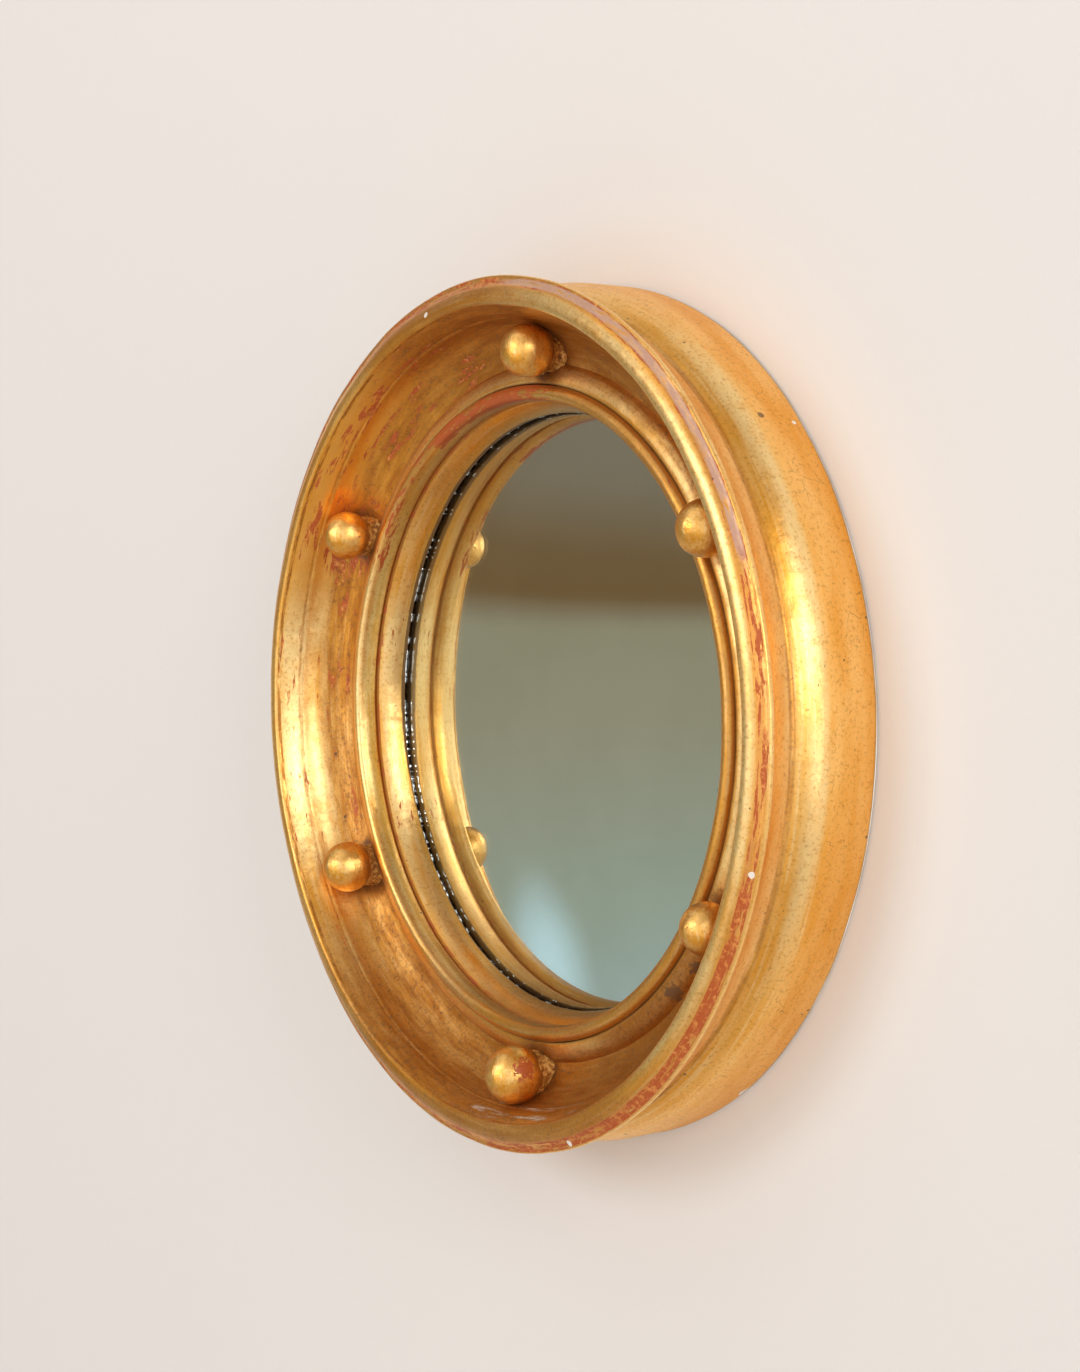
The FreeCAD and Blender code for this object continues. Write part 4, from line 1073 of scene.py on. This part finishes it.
def make_slivers(finish, name, count, first, arc, longest, seed):
    """Flaked slivers of old silvering stuck in the gap under the sight ring's lip."""
    thick, deep, tall = SLIVER_HALF
    form = bmesh.new()
    bmesh.ops.create_icosphere(form, subdivisions=1, radius=1.0)
    for vertex in form.verts:
        x, y, z = vertex.co
        vertex.co = Vector((x * thick, y * deep - SLIVER_DEPTH, z * tall)) * MM
    piece = run_tree(name, RING_OF_PIECES, mesh_of(form, name), {
        "Count": count, "Radius": SLIVER_CIRCLE, "First angle": math.radians(first),
        "Arc": math.radians(arc), "Loose angle": math.radians(4),
        "Loose place": (0.06 * MM, 0.14 * MM, 0.06 * MM), "Least size": (0.35, 0.97, 0.2),
        "Most size": (1.0, 1.02, longest), "Seed": seed, "Finish": finish})
    join_frame(piece, "mirror", "silvering")


def give_finish(node, finish):
    """New material for a CAD node that stays."""
    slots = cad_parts[node].material_slots
    if not slots:
        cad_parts[node].data.materials.append(finish)
    for slot in slots:
        slot.material = finish


def dress_nodes():
    """Finishes of the pieces whose shape is already right."""
    brass_light, brass_dark = (0.80, 0.58, 0.27, 1), (0.24, 0.14, 0.055, 1)
    give_finish("packing_ring", felt_finish())
    give_finish("backboard", board_finish())
    give_finish("ball_dowels", dowel_finish())
    give_finish("hanger_plate", metal_finish("old_brass_plate", brass_light, brass_dark, 0.28, 0.08))
    give_finish("hanger_screws", metal_finish("old_brass_screws", brass_light, brass_dark, 0.30, 0.12))
    give_finish("hanger_ring", metal_finish("old_brass_wire", brass_light, brass_dark, 0.22, 0.04))


# ---------------------------------------------------------------- surroundings


def flat_plate(name, corners, hole):
    """Flat backdrop on the wall plane between two corners, with a round hole behind the mirror."""
    (left, foot), (right, head) = corners
    form = bmesh.new()
    count, quarter = 128, 32
    far = [(right, foot), (right, head), (left, head), (left, foot)]
    outer = [form.verts.new((x, WALL_GAP, z)) for x, z in far]
    inner = [form.verts.new(place) for place in circle(hole, WALL_GAP, count, -math.pi / 4)]
    for n in range(count):
        side = ((n + quarter // 2) // quarter) % 4
        form.faces.new((outer[side], inner[(n + 1) % count], inner[n]))
    for side in range(4):
        meeting = inner[(side * quarter + quarter // 2) % count]
        form.faces.new((outer[side], outer[(side + 1) % 4], meeting))
    form.normal_update()
    bmesh.ops.reverse_faces(form, faces=[face for face in form.faces if face.normal.y > 0])
    plate = set_up(name, mesh_of(form, name))
    return plate


def wall_finish():
    """Off-white painted wall; from behind it lets the view through."""
    material, tree, place = new_finish("off_white_wall")
    orange_peel = grain(tree, place, 2.2 * MM, 3)
    cloud = grain(tree, place, 400 * MM, 2)
    colour = mixed(tree, rise(tree, cloud, 0.3, 0.7), (0.85, 0.822, 0.805, 1), (0.87, 0.838, 0.82, 1))
    relief = raised(tree, orange_peel, 0.05 * MM)
    paint = put(tree, "ShaderNodeBsdfDiffuse", {"Color": colour, "Normal": relief})
    clear = put(tree, "ShaderNodeBsdfTransparent")
    behind = put(tree, "ShaderNodeNewGeometry").outputs["Backfacing"]
    either_side = put(tree, "ShaderNodeMixShader", {0: behind, 1: paint.outputs[0], 2: clear.outputs[0]})
    put(tree, "ShaderNodeOutputMaterial", {"Surface": either_side.outputs[0]})
    return material


def make_wall():
    """The wall that the mirror hangs on."""
    wall = flat_plate("wall_backdrop", ((-1.7, FLOOR_LEVEL), (1.7, 1.7)), WALL_HOLE)
    wall.data.materials.append(wall_finish())


def make_floor():
    """Pale floor well below the mirror."""
    mesh = bpy.data.meshes.new("pale_floor")
    edge = ((-1.7, -3.0), (1.7, -3.0), (1.7, 3.0), (-1.7, 3.0))
    mesh.from_pydata([(x, y, FLOOR_LEVEL) for x, y in edge], [], [(0, 1, 2, 3)])
    material, tree, _ = new_finish("pale_floor_paint")
    finish_surface(tree, Base_Color=(0.72, 0.68, 0.64, 1), Roughness=0.9)
    mesh.materials.append(material)
    floor = set_up("pale_floor", mesh)


def make_lamp(name, place, width, height, power, colour):
    """Large soft area lamp that points at the mirror."""
    lamp = bpy.data.lights.new(name, "AREA")
    lamp.shape = "RECTANGLE"
    lamp.size, lamp.size_y = width, height
    lamp.energy = power
    lamp.color = colour
    holder = set_up(name, lamp)
    holder.location = place
    holder.rotation_euler = (-Vector(place)).to_track_quat("-Z", "Y").to_euler()


def past(tree, direction, plane):
    """How far a direction points past an upright plane."""
    return vector_maths(tree, "DOT_PRODUCT", direction, plane).outputs["Value"]


def make_world():
    """Room light: bright in front to the right, pale beside the wall, and dim to the left, for the glass."""
    world = bpy.data.worlds.new("soft_room")
    world.use_nodes = True
    tree = world.node_tree
    tree.nodes.clear()
    direction = put(tree, "ShaderNodeTexCoord").outputs["Generated"]
    part = put(tree, "ShaderNodeSeparateXYZ", {0: direction}).outputs
    tilt = weighed(tree, part["X"], ROOM_SLOPE, ROOM_LOWERED)
    height = weighed(tree, maths(tree, "ADD", part["Z"], tilt), 0.5, 0.5)
    ramp = put(tree, "ShaderNodeValToRGB", {0: height})
    steps = ramp.color_ramp.elements
    for step, (level, colour) in ((steps[0], ROOM_BY_HEIGHT[0]), (steps[1], ROOM_BY_HEIGHT[-1])):
        step.position, step.color = level, colour
    for level, colour in ROOM_BY_HEIGHT[1:-1]:
        steps.new(level).color = colour
    to_pane = vector_maths(tree, "DISTANCE", direction, PANE_TOWARDS).outputs["Value"]
    dim = mixed(tree, rise(tree, to_pane, 0.105, 0.01), ramp.outputs[0], PANE_COLOUR)
    right = rise(tree, past(tree, direction, RIGHT_OF), -0.08, 0.05)
    front = rise(tree, past(tree, direction, FRONT_OF), 0.05, 0.42)
    near_level = both(tree, rise(tree, part["Z"], 0.72, 0.30), rise(tree, part["Z"], -0.80, -0.40))
    dim = mixed(tree, right, dim, RIGHT_COLOUR)
    dim = mixed(tree, rise(tree, past(tree, direction, BESIDE_WALL), 0.01, 0.10), dim, BESIDE_COLOUR)
    sky = mixed(tree, both(tree, right, front, near_level), dim, BRIGHT_COLOUR)
    light = put(tree, "ShaderNodeBackground", {"Color": sky, "Strength": 1.0})
    put(tree, "ShaderNodeOutputWorld", {"Surface": light.outputs[0]})
    bpy.context.scene.world = world


def make_camera():
    """Camera where the photograph was taken from."""
    around, over, roll = (math.radians(a) for a in (CAMERA_AROUND, CAMERA_OVER, CAMERA_ROLL))
    back = Vector((math.sin(around) * math.cos(over), -math.cos(around) * math.cos(over), math.sin(over)))
    right = Vector((math.cos(around), math.sin(around), 0))
    up = back.cross(right)
    tilted_right = right * math.cos(roll) + up * math.sin(roll)
    tilted_up = up * math.cos(roll) - right * math.sin(roll)
    turn_to = Matrix((tilted_right, tilted_up, back)).transposed().to_4x4()
    lens = bpy.data.cameras.new("camera")
    lens.lens = CAMERA_LENS
    lens.sensor_width = CAMERA_SENSOR
    lens.sensor_fit = "AUTO"
    camera = set_up("camera", lens)
    camera.matrix_world = Matrix.Translation(CAMERA_PLACE) @ turn_to
    bpy.context.scene.camera = camera


TURNING = turning_tree()
RING_OF_PIECES = ring_tree()
make_frame()
make_sight_ring()
make_glass()
make_brads()
sliver_finish = metal_finish("flaked_silver", (0.90, 0.93, 0.95, 1), (0.20, 0.19, 0.17, 1), 0.10, 0.10)
for sliver_row in SLIVERS:
    make_slivers(sliver_finish, *sliver_row)
collar_gesso = gesso_collar_finish()
for ball_number in BALLS:
    make_ball(ball_number)
    make_collar(ball_number, collar_gesso)
dress_nodes()
make_wall()
make_floor()
make_world()
for lamp_row in LAMPS:
    make_lamp(*lamp_row)
make_camera()
bpy.context.scene.view_settings.view_transform = "Standard"
